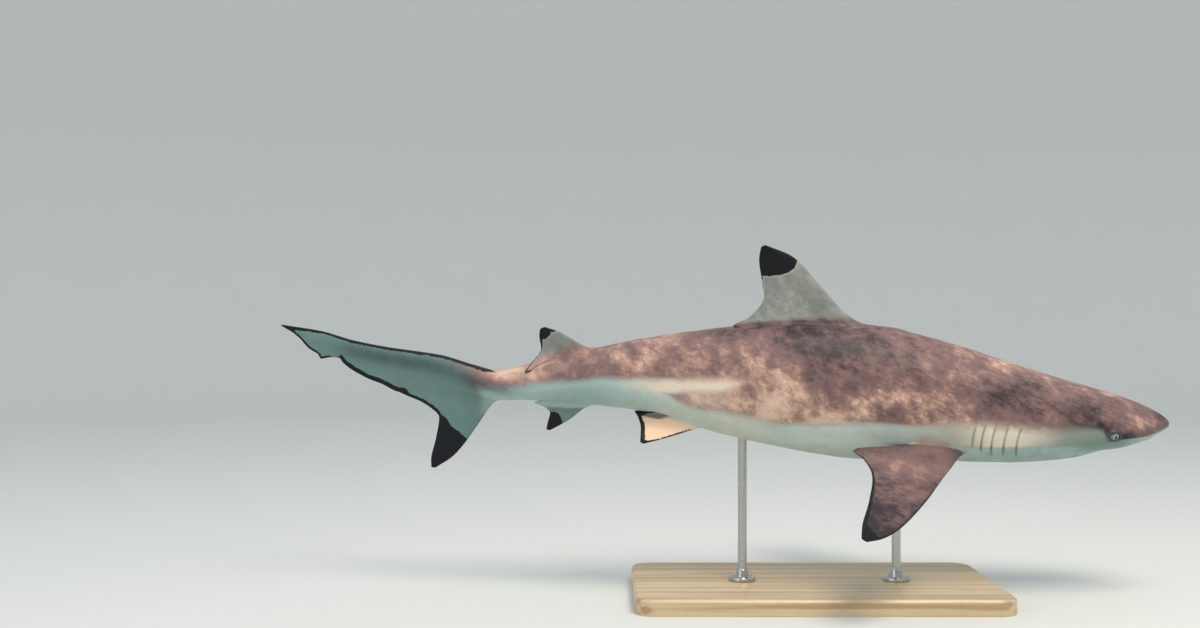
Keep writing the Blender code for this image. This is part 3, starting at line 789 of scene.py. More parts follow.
cheek_line = through([(6.5, -0.85), (8.5, -1.3), (10.7, -1.47), (14.1, -1.67), (19.7, -2.0), (28, -2.1)])
tongue_top = through(
    [(33, 8), (44, 8), (46, 5.4), (47.2, 4.0), (48.1, 3.15), (48.9, 2.7), (50, 2.3), (52.1, 1.95),
     (54.1, 1.65), (55.3, 1.35), (57, 0.8), (60, 0)],
)
tongue_bottom = through(
    [(33, 0.25), (37.5, -0.05), (41.5, -0.4), (43.5, -0.6), (46, -0.4), (50, -0.1), (52, 0),
     (53.1, 0.25), (54.1, 0.58), (55.3, 1.3), (57, 2.4), (60, 4)],
)


def gap_to(line, flat):
    """The distance in mm from each flat place to a line of points."""
    gap = np.full(len(flat), 1e9)
    for start, end in zip(line[:-1], line[1:]):
        run = end - start
        share = np.clip((flat - start) @ run / max(run @ run, 1e-12), 0, 1)
        gap = np.minimum(gap, np.linalg.norm(flat - start - share[:, None] * run, axis=-1))
    return gap / MM


def beyond(points, flat, up):
    """How far in mm each flat place lies beyond a border through these points; up is its side."""
    curve = through(points)
    cs = np.linspace(points[0][0], points[-1][0], 60)
    line = np.stack([cs, curve(cs)], axis=-1)
    inside = (flat[:, 1] - curve(np.clip(flat[:, 0], cs[0], cs[-1]))) * up > 0
    return np.where(inside, 1, -1) * gap_to(line, flat)


# black_mm, brown_mm and lid_mm are mm inside a border, and ray_mm is mm back along a fin's chord.
# band is the pale band under a black tip, finny is 1 on a fin, dusk darkens, partly as the fins' own
# duskiness and partly as painted shade, and below 0 it is painted light; mottled and streaked are the
# strength of the mottling, and crease is painted shade by the depth in a fold. The others are tints.
MARKS = ("black_mm", "brown_mm", "lid_mm", "ray_mm", "grey", "teal", "tan", "cream", "warm",
         "cheek", "gill", "band", "dusk", "mottled", "streaked", "finny", "crease")
FAR = -30.0
marks = {name: np.zeros(len(places)) for name in MARKS}
t, y, h = plain_places.T
tongue = np.minimum(tongue_top(t) - h, h - tongue_bottom(t)) / MM / blend_share(t)
tongue = np.minimum(tongue, 4 + 24 * ease((50.5 - t) / 6))
tongue = np.where((t > 34) & (t < 60), tongue, FAR)
marks["black_mm"][:] = FAR
marks["brown_mm"] = np.maximum((h - dark_from_below(t)) / MM / blend_share(t), tongue)
marks["brown_mm"] = np.maximum(marks["brown_mm"], 38 * ease((t - 74.5) / 4.0) - 20)

# The tail's grey-green, the cream band of the rear flank, cheek and gills, and the warm flank, whose
# greige is painted sunlight over the lower flank.
over_line = h - cheek_line(t)
marks["teal"] = ease((t - 75 - 1.2 * h) / 5)
marks["cream"] = between(t, 43, 4, 63, 8) * (0.25 + 0.75 * ease((h - 0.9) / 1.0))
marks["warm"] = between(t, 11, 6, 50, 8) * ease((h + 2.6) / 1.2)
marks["cheek"] = 0.9 * between(t, 5.4, 2.4, 28, 5) * ease(over_line / 0.5 + 0.5)
marks["gill"] = between(t, 12, 7, 26.5, 6) * ease(over_line / 0.4 + 0.3)

# Painted shade and painted light on the head, back, flanks and belly: darker places as in shadow and
# lighter ones as in sun: (t, its reach, h, its reach, how much darker).
for at_t, wide, at_h, tall, darker in (
    (12.2, 3.0, 2.2, 2.0, 0.7), (17.0, 3.0, 3.2, 2.0, 0.65), (22.0, 3.0, 3.0, 2.2, 0.35),
    (8.0, 3.2, -1.4, 0.9, 1.5), (9.0, 3.0, -0.2, 0.9, 0.3),
    (28.5, 4.0, 5.6, 2.2, 0.55), (25.5, 3.5, 2.2, 1.8, -0.35), (36.5, 5.0, 4.6, 1.8, 0.3),
    (41.5, 7.0, 8.4, 2.4, 1.5), (8.6, 2.0, 0.9, 1.0, 0.8), (5.6, 2.4, -0.1, 0.9, 0.9),
    (0.6, 2.2, 1.0, 2.2, 1.15), (4.0, 2.2, 0.9, 0.6, -0.5), (31.5, 3.0, 3.2, 1.4, -0.8),
    (44.0, 4.5, 2.0, 2.4, -0.9), (47.5, 3.5, 5.0, 2.6, -0.35), (53.0, 6.0, 4.6, 2.4, -0.35),
    (61.0, 6.0, 4.0, 1.8, -0.25), (70.5, 4.0, 1.9, 1.4, -0.6), (73.8, 4.5, 1.0, 1.6, -1.15),
    (14.0, 14.0, -3.6, 2.4, 0.85), (66.0, 11.0, -0.6, 2.4, 0.75), (51.5, 4.5, 0.9, 1.6, -0.8),
    (36.0, 12.0, -1.6, 2.4, -0.95), (7.0, 2.6, 2.8, 0.9, 0.45), (74.2, 2.4, -0.7, 0.7, 1.0),
):
    marks["dusk"] += darker * hump(t - at_t, wide) * hump(h - at_h, tall)
# Painted highlight: lighter along the crest of the back over the head and shoulders.
marks["dusk"] -= 0.35 * between(t, 3, 4, 30, 8) * hump(back(t) - h, 0.8)
marks["dusk"] += 0.95 * between(t, 75, 3, 97, 7) * hump(back(t) - h - 1.1, 1.1)
marks["mottled"] = (1 - 0.75 * marks["teal"]) * (0.35 + 0.65 * ease((marks["brown_mm"] + 14) / 14))
marks["mottled"] *= 1 - 0.35 * ease((t - 58) / 8)
marks["streaked"] = 0.08 + 0.22 * ease((46 - t) / 16)
# Painted shade in the sleeve's folds, slits and pits.
marks["crease"][:BODY_POINTS] = np.clip(shade_in_creases.ravel(), 0, 1)
marks["lid_mm"][:] = -FAR
for point, gap in lid_gap.items():
    marks["lid_mm"][point] = gap

# The black margins of the tail's upper lobe: their width in mm along its upper and lower edges.
on_tail = t > 74.5
side_view = np.stack([t, h], axis=-1)
tail_t = np.linspace(74.5, BODY_ENDS, 120)
upper_edge = np.stack([tail_t, back(tail_t)], axis=-1)
tail_t = np.linspace(86.0, BODY_ENDS, 180)
lower_edge = np.stack([tail_t, belly(tail_t)], axis=-1)
upper_black = through(
    [(74.5, -2), (76, 1.2), (79, 2.2), (84, 2.9), (92, 3.2), (97, 3.6), (99, 5.2), (100.9, 7.0)],
)
lower_black = through(
    [(86, 8.4), (92, 7.8), (93.5, 6.6), (94.0, 0.8), (94.4, -1.0), (94.9, 1.8), (96.0, 4.2),
     (97.5, 4.2), (99, 4.8), (100.9, 8.0)],
)
marks["black_mm"][on_tail] = np.maximum(
    upper_black(t[on_tail]) - gap_to(upper_edge, side_view[on_tail]),
    lower_black(t[on_tail]) - gap_to(lower_edge, side_view[on_tail]),
)

# Each fin's black: its tip beyond a border of points (c, s), on one side of it, and its rear and
# front margins, as widths in mm by the share of the span. Then its tints, how dusky and how mottled
# it is, and the share of the span over which it takes them from the body.
FIN_MARKINGS = {
    "first_dorsal_fin": {
        "tip": [(41.6, 17.0), (42.5, 16.1), (42.75, 15.4), (43.3, 14.85), (44.2, 14.5),
                (45.3, 14.3), (46.6, 14.15)],
        "tip_side": 1,
        "rear": [(0, -3), (0.4, -3), (0.46, 1.2), (0.52, -1), (0.57, 1.5), (0.62, -1), (1, -1)],
        "grey": 1.0, "band": 1.0, "mottled": 0.9, "from_body": 0.1,
    },
    "second_dorsal_fin": {
        "tip": [(67.6, 6.9), (68.3, 6.35), (68.9, 6.12), (69.1, 5.7), (69.5, 5.36), (70.1, 5.15),
                (71, 5)],
        "tip_side": 1,
        "rear": [(0, 0.9), (0.1, 0.9), (0.2, 0.4), (0.45, 0.5), (0.56, 2.6), (0.7, 3.2), (1, 3)],
        "grey": 0.9, "band": 0.5, "mottled": 0.6, "dusk": 0.3,
    },
    "anal_fin": {
        "tip": [(66.9, -6), (67.0, -5.0), (67.15, -4.1), (67.4, -3.5), (67.9, -3.1), (68.5, -3.1),
                (69.6, -3)],
        "tip_side": -1,
        "rear": [(0, -2), (0.3, -1), (0.42, 1.2), (0.6, 3), (1, 3)],
        "teal": 1.0, "mottled": 0.25, "dusk": 0.1,
    },
    "caudal_lower_lobe": {
        "tip": [(77.4, -8.6), (78.1, -7.65), (78.9, -6.9), (79.5, -6.5), (80.1, -6.1), (80.6, -5.4),
                (81.2, -5.0), (82.4, -4.6)],
        "tip_side": -1,
        "rear": [(0, 6.8), (0.2, 6.8), (0.36, 6.0), (0.6, 4), (1, 3)],
        "teal": 1.0, "mottled": 0.25, "dusk": 0.1,
    },
    "pectoral_fin_left": {
        "tip": [(10.0, 16.4), (11.1, 15.75), (11.9, 15.1), (12.5, 14.2), (13.1, 12.6), (13.6, 11)],
        "tip_side": 1,
        "rear": [(0, 1.0), (0.1, 1.0), (0.25, 0.8), (0.35, 2.0), (0.6, 4.2), (0.8, 5.6), (1, 6)],
        "front": [(0, -4), (0.3, -3), (0.45, 1.0), (0.7, 1.5), (0.85, 1.9), (1, 3)],
    },
    "pelvic_fin_left": {
        "tip": [(5.6, 3.2), (6.2, 2.4), (6.8, 2.0)],
        "tip_side": 1,
        "rear": [(0, 8.0), (0.15, 9.0), (0.2, 7.5), (0.3, 5.0), (0.6, 6.4), (0.85, 6.4), (1, 4)],
        "front": [(0, -3), (0.2, -3), (0.34, 0.9), (0.7, 1.1), (1, 1.8)],
    },
}
WELL_IN = 14.0
SHOULDER_MM = 9.0
SHOULDER_ENDS = 28.0


def carry_brown_down(rim):
    """Carries the brown of the back down the shoulder to the rim of a pectoral fin."""
    same_side = np.sign(y[:BODY_POINTS]) == np.sign(rim[0, 1])
    over = np.nonzero(same_side & (h[:BODY_POINTS] > rim[:, 2].min() + 0.5))[0]
    near = np.min([np.linalg.norm(plain_places[over] - place, axis=-1) for place in rim], axis=0)
    ended = ease((t[over] - SHOULDER_ENDS) / 2)
    inside = (SHOULDER_MM - near / MM) * (1 - ended) - 20 * ended
    marks["brown_mm"][over] = np.maximum(marks["brown_mm"][over], inside)


for name, fin in fins.items():
    own = FIN_MARKINGS[name.replace("right", "left")]
    points, flat, share, chordwise = (fin[part] for part in ("points", "flat", "share", "chordwise"))
    inside = beyond(own["tip"], flat, own["tip_side"])
    for margin, edge in (("rear", "trail"), ("front", "lead")):
        if margin in own:
            inside = np.maximum(inside, through(own[margin])(share) - gap_to(fin[edge], flat))
    marks["black_mm"][points] = np.maximum(inside, FAR)
    at_root = share == share.min()
    risen = ease((share - share.min()) / own.get("from_body", 0.3))
    for tint, usual in (("grey", 0), ("teal", 0), ("band", 0), ("dusk", 0), ("mottled", 1)):
        marks[tint][points] += risen * (own.get(tint, usual) - marks[tint][points])
    quarter = len(fin["lead"]) // 4
    chord_mm = np.linalg.norm(fin["trail"][quarter] - fin["lead"][quarter]) / MM
    marks["ray_mm"][points] = chordwise * chord_mm
    marks["finny"][points] = risen
    if name.startswith("pectoral"):
        # Brown above and pale below, with a dusky outer half and a patch of painted light in its middle.
        upper = fin["facing"] * SIDES[name.rpartition("_")[2]] > 0
        marks["brown_mm"][points] = np.where(upper, WELL_IN, -WELL_IN)
        dusk = 0.4 * ease((0.3 - share) / 0.1) + ease((share - 0.3) / 0.6) + 0.4
        marks["dusk"][points] = dusk - 0.45 * hump(share - 0.36, 0.3) * hump(chordwise - 0.4, 0.45)
        marks["warm"][points] = 0.0
        carry_brown_down(plain_places[points[at_root]])
    elif name.startswith("pelvic"):
        # Tan, with painted shade: a dark grey band along the rear of its root, where the body shades it.
        shaded = ease((0.3 - share) / 0.08) * ease((chordwise - 0.5) / 0.2)
        marks["tan"][points] = ease((share - share.min()) / 0.08) * (1 - 0.9 * shaded)
        marks["dusk"][points] = 0.9 * shaded
        marks["grey"][points] = shaded
        marks["brown_mm"][points] = WELL_IN * (2 * shaded - 1)
    elif name in ("anal_fin", "caudal_lower_lobe"):
        marks["brown_mm"][points] = np.maximum(marks["brown_mm"][points], (WELL_IN + 20) * risen - 20)
    else:
        marks["brown_mm"][points] = np.maximum(marks["brown_mm"][points], WELL_IN)

skin_mesh = bpy.data.meshes.new("shark_skin")
skin_mesh.from_pydata(
    posed(places[used]).tolist(), [], [[int(renumber[k]) for k in face] for face in skin_faces]
)


def face_out(mesh):
    """Turns every face of a closed mesh outwards, and shades it smooth."""
    work = bmesh.new()
    work.from_mesh(mesh)
    bmesh.ops.recalc_face_normals(work, faces=work.faces)
    work.to_mesh(mesh)
    work.free()
    mesh.shade_smooth()


def store(mesh, name, values):
    """Keeps one number or one vector for each point of the mesh, for its material to read."""
    values = np.asarray(values, np.float32)
    kind, field = ("FLOAT", "value") if values.ndim == 1 else ("FLOAT_VECTOR", "vector")
    mesh.attributes.new(name, kind, "POINT").data.foreach_set(field, values.ravel())


def new_object(name, mesh):
    """Puts a mesh, a lamp's data or a camera's data into the scene as an object."""
    made = bpy.data.objects.new(name, mesh)
    bpy.context.scene.collection.objects.link(made)
    return made


face_out(skin_mesh)
store(skin_mesh, "straight_place", plain_places[used] * PERCENT)
for name, values in marks.items():
    store(skin_mesh, name, values[used])
skin = new_object("shark_skin", skin_mesh)


def linear(hex_colour, alpha=1.0):
    """An sRGB hex colour as the linear values that a shader takes."""
    parts = [int(hex_colour[k : k + 2], 16) / 255 for k in (1, 3, 5)]
    return (*[c / 12.92 if c <= 0.04045 else ((c + 0.055) / 1.055) ** 2.4 for c in parts], alpha)


def new_material(name):
    """A material with its Principled shader, and its node tree."""
    made = bpy.data.materials.new(name)
    made.use_nodes = True
    return made, made.node_tree, made.node_tree.nodes["Principled BSDF"]


def node(tree, kind, inputs=None, out=0, **settings):
    """Adds a node and gives one of its outputs. An input is a value, a hex colour or an output."""
    made = tree.nodes.new(kind)
    for name, value in settings.items():
        setattr(made, name, value)
    for place, value in (inputs or {}).items():
        if isinstance(value, bpy.types.NodeSocket):
            tree.links.new(value, made.inputs[place])
        else:
            made.inputs[place].default_value = linear(value) if isinstance(value, str) else value
    return made.outputs[out] if len(made.outputs) else made


# Shark skin is satin and finely rough, from scales of about 0.2 mm. They are too fine to show, so
# they are drawn as grain of about 1 mm, which takes the shine off the back without blurring it.
skin_material, tree, shader = new_material("shark_hide_satin")
place = node(tree, "ShaderNodeAttribute", attribute_name="straight_place", out="Vector")
mark = {name: node(tree, "ShaderNodeAttribute", attribute_name=name, out="Fac") for name in MARKS}

# Noises from -1 to 1: the size of a lump in mm, detail, roughness, stretch along t, y and h, tilt.
noise = {}
for name, size, detail, rough, stretch, tilt in (
    ("cloud", 66, 3.0, 0.55, (1.4, 1, 1), 25),
    ("blotch", 28, 3.0, 0.6, (0.8, 1, 1.3), 35),
    ("fleck", 12, 3.0, 0.65, (1.4, 1, 1), -30),
    ("streak", 5, 3.0, 0.6, (6, 1, 1), -22),
    ("fine", 3.5, 2.0, 0.5, (1, 1, 1), 0),
    ("wrinkle", 9, 3.0, 0.6, (2.5, 1, 1), -10),
    ("scale", 1.1, 1.0, 0.5, (1, 1, 1), 0),
):
    lump = [size / 1000 * side for side in stretch]
    turned = {"Vector": place, "Rotation": (0, math.radians(tilt), 0), "Scale": lump}
    turned = node(tree, "ShaderNodeMapping", turned, vector_type="TEXTURE")
    lumps = {"Vector": turned, "Scale": 1.0, "Detail": detail, "Roughness": rough}
    lumps = node(tree, "ShaderNodeTexNoise", lumps)
    noise[name] = node(
        tree, "ShaderNodeMapRange", {0: lumps, 1: 0.25, 2: 0.75, 3: -1.0, 4: 1.0}, clamp=False
    )

# Weighted sums: (name, first, weight, second), each first * weight + second. A weight or a second
# may be a sum that is already there, by its name.
for name, first, weight, second in (
    ("mottle", noise["cloud"], 0.48, 0.0),
    ("mottle", noise["blotch"], 0.5, "mottle"),
    ("mottle", noise["fleck"], 0.36, "mottle"),
    ("mottle", noise["streak"], mark["streaked"], "mottle"),
    ("mottle", noise["fine"], 0.14, "mottle"),
    ("mottle", mark["mottled"], "mottle", 0.0),
    ("mottle", mark["dusk"], -0.85, "mottle"),
    ("border", noise["fleck"], 3.5, mark["brown_mm"]),
    ("border", noise["blotch"], 3.0, "border"),
    ("border", noise["streak"], 1.2, "border"),
    ("speckle", noise["fleck"], 0.35, 0.94),
    ("tip", noise["fine"], 0.9, mark["black_mm"]),
    ("tip", noise["fleck"], 1.0, "tip"),
    ("hollow", noise["fleck"], 0.25, mark["crease"]),
    ("lid", noise["fine"], 0.2, mark["lid_mm"]),
):
    weight, second = (noise[part] if isinstance(part, str) else part for part in (weight, second))
    noise[name] = node(
        tree, "ShaderNodeMath", {0: first, 1: weight, 2: second}, operation="MULTIPLY_ADD"
    )

# How much of each layer of colour shows: a soft step from 0 to 1 between two values.
step = {"cream": mark["cream"]}
for name, value, none, full in (
    ("deep", noise["mottle"], 0.1, -1.3),
    ("light", noise["mottle"], -0.1, 0.8),
    ("glint", noise["mottle"], 0.45, 1.2),
    ("pale", noise["border"], 9.0, -10.0),
    ("warm", noise["border"], -26.0, -6.0),
    ("under_tip", mark["black_mm"], -3.6, -0.8),
    ("black", noise["tip"], -0.5, 0.6),
    ("crease", noise["hollow"], 0.25, 0.95),
    ("lid", noise["lid"], 0.7, -0.2),
    ("round_lid", mark["lid_mm"], 8.0, 1.5),
):
    step[name] = node(
        tree, "ShaderNodeMapRange", {0: value, 1: none, 2: full}, interpolation_type="SMOOTHSTEP"
    )

# Some layers are held back, by a constant or by a tint.
for name, held_to in (
    ("glint", 0.8), ("cream", noise["speckle"]), ("warm", mark["warm"]), ("warm", 0.8),
    ("under_tip", mark["band"]), ("under_tip", 0.35), ("crease", 0.4), ("lid", 0.92),
    ("round_lid", 0.5),
):
    step[name] = node(tree, "ShaderNodeMath", {0: step[name], 1: held_to}, operation="MULTIPLY")

# Four coats, all mottled alike: the back's brown, the dorsal fins' grey, the tail's grey-green and
# the pale belly, greyed and tinted blue-green as painted shade. A Mix node takes its share at 0 and
# its two colours at 6 and 7.
coat = {}
for name, deep, middle, light in (
    ("brown", "#30272D", "#7D6261", "#B99584"),
    ("grey", "#555954", "#8B908A", "#AEAFA6"),
    ("teal", "#38464A", "#6B8883", "#8FA49C"),
    ("pale", "#78938F", "#AAC2BC", "#C5D5D1"),
):
    coat[name] = node(
        tree, "ShaderNodeMix", {0: step["deep"], 6: middle, 7: deep}, out=2, data_type="RGBA"
    )
    coat[name] = node(
        tree, "ShaderNodeMix", {0: step["light"], 6: coat[name], 7: light}, out=2, data_type="RGBA"
    )

# The layers of colour over the belly's coat, and then over the back's: (share, colour).
under = coat["pale"]
for share, colour in (
    # The warm layer is painted sunlight on the flank.
    (mark["cheek"], "#7C877C"), (step["warm"], "#B3A99B"), (mark["gill"], "#DAD2C2"),
    (step["cream"], "#E8D6C4"), (mark["teal"], "#8DA49D"), (mark["tan"], "#F2CCAD"),
):
    under = node(tree, "ShaderNodeMix", {0: share, 6: under, 7: colour}, out=2, data_type="RGBA")
hue = coat["brown"]
for share, colour in (
    # The glint layer is painted highlight on the brightest flecks of the mottling.
    (step["glint"], "#E2C4B0"), (mark["grey"], coat["grey"]), (mark["teal"], coat["teal"]),
    (step["pale"], under), (step["under_tip"], "#C9CBC3"), (step["round_lid"], "#4E5558"),
    # Painted shade: the crease layer in folds, slits and pits, and the lid layer in the lids' gap and the
    # socket.
    (step["crease"], "#40383A"), (step["black"], "#030410"), (step["lid"], "#1E2123"),
):
    hue = node(tree, "ShaderNodeMix", {0: share, 6: hue, 7: colour}, out=2, data_type="RGBA")
tree.links.new(hue, shader.inputs["Base Color"])

# Its shine is satin, uneven over the flecks. Its relief is fin rays, scales, wrinkles and streaks.
# The rays are a wave of so many radians to the mm, which makes a ray every 2.4 mm.
RAY_WAVE = 2.6
gloss = node(tree, "ShaderNodeMath", {0: noise["fleck"], 1: 0.05, 2: 0.48}, operation="MULTIPLY_ADD")
tree.links.new(gloss, shader.inputs["Roughness"])
shader.inputs["IOR"].default_value = 1.36
rays = node(tree, "ShaderNodeMath", {0: mark["ray_mm"], 1: RAY_WAVE}, operation="MULTIPLY")
rays = node(tree, "ShaderNodeMath", {0: rays}, operation="SINE")
rays = node(tree, "ShaderNodeMath", {0: rays, 1: mark["finny"]}, operation="MULTIPLY")
relief_mm = 0.0
for bumps, depth in (
    (rays, 0.12), (noise["scale"], 0.10), (noise["wrinkle"], 0.24), (noise["streak"], 0.10),
):
    deeper = {0: bumps, 1: depth, 2: relief_mm}
    relief_mm = node(tree, "ShaderNodeMath", deeper, operation="MULTIPLY_ADD")
bump = node(tree, "ShaderNodeBump", {"Height": relief_mm, "Strength": 0.55, "Distance": 0.001})
tree.links.new(bump, shader.inputs["Normal"])
skin_mesh.materials.append(skin_material)

FLESH = ["head", "lower_jaw", "gill_region", "trunk_front", "trunk_rear", "tail_stalk",
         "caudal_upper_lobe", *fins]
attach(skin, "root")
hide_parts(*FLESH)

# --- The eyes -------------------------------------------------------------------------------
# Each real eye is a ball with a pale grey iris and an upright oval pupil under a clear cornea.
# It is made as a fine ball with a low corneal bulge, glossy all over, turned with the head.

CORNEA_BULGE = 0.15
CORNEA_REACH = 0.62
EYE_AROUND, EYE_DOWN = 64, 40


def eyeball(side):
    """The ball, and for each point its place back, up and out from the ball's centre, in mm."""
    centre, rearward, upward, out, _ = eye_frame(side)
    here = posed(centre)
    axes = np.stack([posed(centre + axis * 0.05) - here for axis in (rearward, upward, out)])
    axes /= np.linalg.norm(axes, axis=-1, keepdims=True)
    local, faces = [(0.0, 0.0, EYE_RADIUS + CORNEA_BULGE)], []
    for i in range(1, EYE_DOWN):
        polar = math.pi * i / EYE_DOWN
        radius = EYE_RADIUS + CORNEA_BULGE * math.exp(-((polar / CORNEA_REACH) ** 4))
        for j in range(EYE_AROUND):
            turn = 2 * math.pi * j / EYE_AROUND
            flat = radius * math.sin(polar)
            local.append((flat * math.cos(turn), flat * math.sin(turn), radius * math.cos(polar)))
    local.append((0.0, 0.0, -EYE_RADIUS))
    for j in range(EYE_AROUND):
        after = (j + 1) % EYE_AROUND
        faces.append((0, 1 + j, 1 + after))
        for i in range(EYE_DOWN - 2):
            first, second = 1 + i * EYE_AROUND, 1 + (i + 1) * EYE_AROUND
            faces.append((first + j, second + j, second + after, first + after))
        base = 1 + (EYE_DOWN - 2) * EYE_AROUND
        faces.append((base + j, len(local) - 1, base + after))
    local = np.array(local)
    return here + local @ axes * 0.001, faces, local


# A live shark's eye: wet and mirror-smooth, with a pale, flecked iris, a paler ring round the pupil
# and a dark rim. It looks a little ahead and down.
eye_material, tree, shader = new_material("shark_eye_glossy")
gaze = node(tree, "ShaderNodeAttribute", attribute_name="gaze_mm", out="Vector")
flecks = node(tree, "ShaderNodeTexNoise", {"Vector": gaze, "Scale": 1.1, "Detail": 3.0})
looked = node(tree, "ShaderNodeVectorMath", {0: gaze, 1: (1.8, 1.5, 0.0)}, operation="ADD")
oval = {}
for name, width, tall in (("pupil", 2.6, 3.4), ("ring", 3.9, 4.6), ("iris", 8.6, 7.0)):
    scaled = {0: looked, 1: (1 / width, 1 / tall, 0.0)}
    scaled = node(tree, "ShaderNodeVectorMath", scaled, operation="MULTIPLY")
    oval[name] = node(tree, "ShaderNodeVectorMath", {0: scaled}, out="Value", operation="LENGTH")
iris = "#5C6C75"
for value, low, top, colour in (
    (flecks, 0.4, 0.7, "#8797A0"), (oval["ring"], 1.15, 0.85, "#A3B2B8"),
    (oval["iris"], 0.75, 1.05, "#36424A"), (oval["pupil"], 1.15, 0.9, "#040507"),
):
    share = node(
        tree, "ShaderNodeMapRange", {0: value, 1: low, 2: top}, interpolation_type="SMOOTHSTEP"
    )
    iris = node(tree, "ShaderNodeMix", {0: share, 6: iris, 7: colour}, out=2, data_type="RGBA")
tree.links.new(iris, shader.inputs["Base Color"])
shader.inputs["Roughness"].default_value = 0.05
shader.inputs["IOR"].default_value = 1.38
shader.inputs["Coat Weight"].default_value = 1.0
shader.inputs["Coat Roughness"].default_value = 0.02
for side_name, side in SIDES.items():
    points, faces, local = eyeball(side)
    eye_mesh = bpy.data.meshes.new("eyeball_" + side_name)
    eye_mesh.from_pydata(points.tolist(), [], faces)
    face_out(eye_mesh)
    store(eye_mesh, "gaze_mm", local)
    eye_mesh.materials.append(eye_material)
    eye = new_object("eyeball_" + side_name, eye_mesh)
    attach(eye, "root")
    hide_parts("eye_" + side_name)

# --- The stand's base -----------------------------------------------------------------------
# A flat board of pale ash, edge-glued from staves, with its upper edge eased and a satin lacquer.
# It keeps its solid's shape, and lies loose on the floor.

# Ash under satin lacquer: pale wood with a soft sheen, which the open pores break up.
STAVE = 0.05
ash, tree, shader = new_material("ash_wood_satin_lacquer")
place = node(tree, "ShaderNodeTexCoord", out="Object")
across = node(tree, "ShaderNodeSeparateXYZ", {0: place}, out="Y")
stave = node(tree, "ShaderNodeMath", {0: across, 1: 1 / STAVE, 2: 0.37}, operation="MULTIPLY_ADD")
joint = node(tree, "ShaderNodeMath", {0: stave}, operation="FRACT")
stave = node(tree, "ShaderNodeMath", {0: stave}, operation="FLOOR")
lot = node(tree, "ShaderNodeTexWhiteNoise", {"W": stave}, out="Value", noise_dimensions="1D")
shift = node(tree, "ShaderNodeCombineXYZ", {"X": lot, "Y": stave, "Z": lot})
shifted = node(tree, "ShaderNodeVectorMath", {0: place, 1: shift}, operation="ADD")

# Growth rings 3 to 5 mm apart run along the board, with pores of 0.3 mm drawn about 0.6 mm wide.
grain = {}
for name, scale, detail, stretch in (
    ("rings", 1.0, 2.0, (2.2, 95.0, 95.0)), ("pores", 1.0, 1.0, (60.0, 1600.0, 1600.0)),
    ("tone", 1.0, 3.0, (4.0, 22.0, 22.0)),
):
    spread = node(tree, "ShaderNodeVectorMath", {0: shifted, 1: stretch}, operation="MULTIPLY")
    grain[name] = node(tree, "ShaderNodeTexNoise", {"Vector": spread, "Scale": scale, "Detail": detail})
wood = "#CDB48F"
for value, low, top, strength, colour in (
    (lot, 0.2, 1.0, 0.5, "#BFA27A"), (grain["tone"], 0.35, 0.75, 0.5, "#DCC6A4"),
    (grain["rings"], 0.46, 0.62, 0.75, "#A88660"), (grain["pores"], 0.62, 0.74, 0.55, "#8A6A48"),
    (joint, 0.018, 0.004, 0.6, "#7A5D40"),
):
    share = node(
        tree, "ShaderNodeMapRange", {0: value, 1: low, 2: top, 3: 0.0, 4: strength},
        interpolation_type="SMOOTHSTEP",
    )
    wood = node(tree, "ShaderNodeMix", {0: share, 6: wood, 7: colour}, out=2, data_type="RGBA")
tree.links.new(wood, shader.inputs["Base Color"])
shader.inputs["Roughness"].default_value = 0.38
shader.inputs["Coat Weight"].default_value = 0.25
shader.inputs["Coat Roughness"].default_value = 0.25
bump = node(tree, "ShaderNodeBump", {"Height": grain["pores"], "Strength": 0.15, "Distance": 0.0003})
tree.links.new(bump, shader.inputs["Normal"])
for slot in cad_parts["stand_base"].material_slots:
    slot.material = ash

# --- The rods -------------------------------------------------------------------------------
# Two rods of stainless steel, turned with a foot that is screwed to the board. Each rod ends in
# the belly, and three button-head screws hold each foot.

ROD_RADIUS = 0.007
FOOT_RADIUS = 0.021
FOOT_HEIGHT = 0.005
ROD_AROUND = 64
ROD_ENDS_INSIDE = 0.0012

# Turned steel shows fine lines round it, drawn about 0.7 mm apart, and blurred reflections.
steel, tree, shader = new_material("turned_stainless_steel")
place = node(tree, "ShaderNodeTexCoord", out="Object")
turned = node(tree, "ShaderNodeVectorMath", {0: place, 1: (15, 15, 1300)}, operation="MULTIPLY")
turned = node(tree, "ShaderNodeTexNoise", {"Vector": turned, "Scale": 1.0, "Detail": 2.0})
tint = node(tree, "ShaderNodeMix", {0: turned, 6: "#B9B8B4", 7: "#C1C0BC"}, out=2, data_type="RGBA")
tree.links.new(tint, shader.inputs["Base Color"])
shader.inputs["Metallic"].default_value = 1.0
matt = node(tree, "ShaderNodeMath", {0: turned, 1: 0.06, 2: 0.25}, operation="MULTIPLY_ADD")
tree.links.new(matt, shader.inputs["Roughness"])
bump = node(tree, "ShaderNodeBump", {"Height": turned, "Strength": 0.02, "Distance": 0.0001})
tree.links.new(bump, shader.inputs["Normal"])

skin_tree = BVHTree.FromObject(skin, bpy.context.evaluated_depsgraph_get())
SCREWS = 3
SCREW_CIRCLE = 0.0155
SCREW_RADIUS = 0.0030
SCREW_HEIGHT = 0.0017
SCREW_AROUND = 24
SOCKET_HALF_WIDTH = 0.0011


def lathe(profile, around, centre):
    """Rings of points about an upright axis, for the (radius, height) pairs of a profile."""
    turn = 2 * math.pi * np.arange(around) / around
    x, y = centre
    return [[(x + r * math.cos(a), y + r * math.sin(a), z) for a in turn] for r, z in profile]


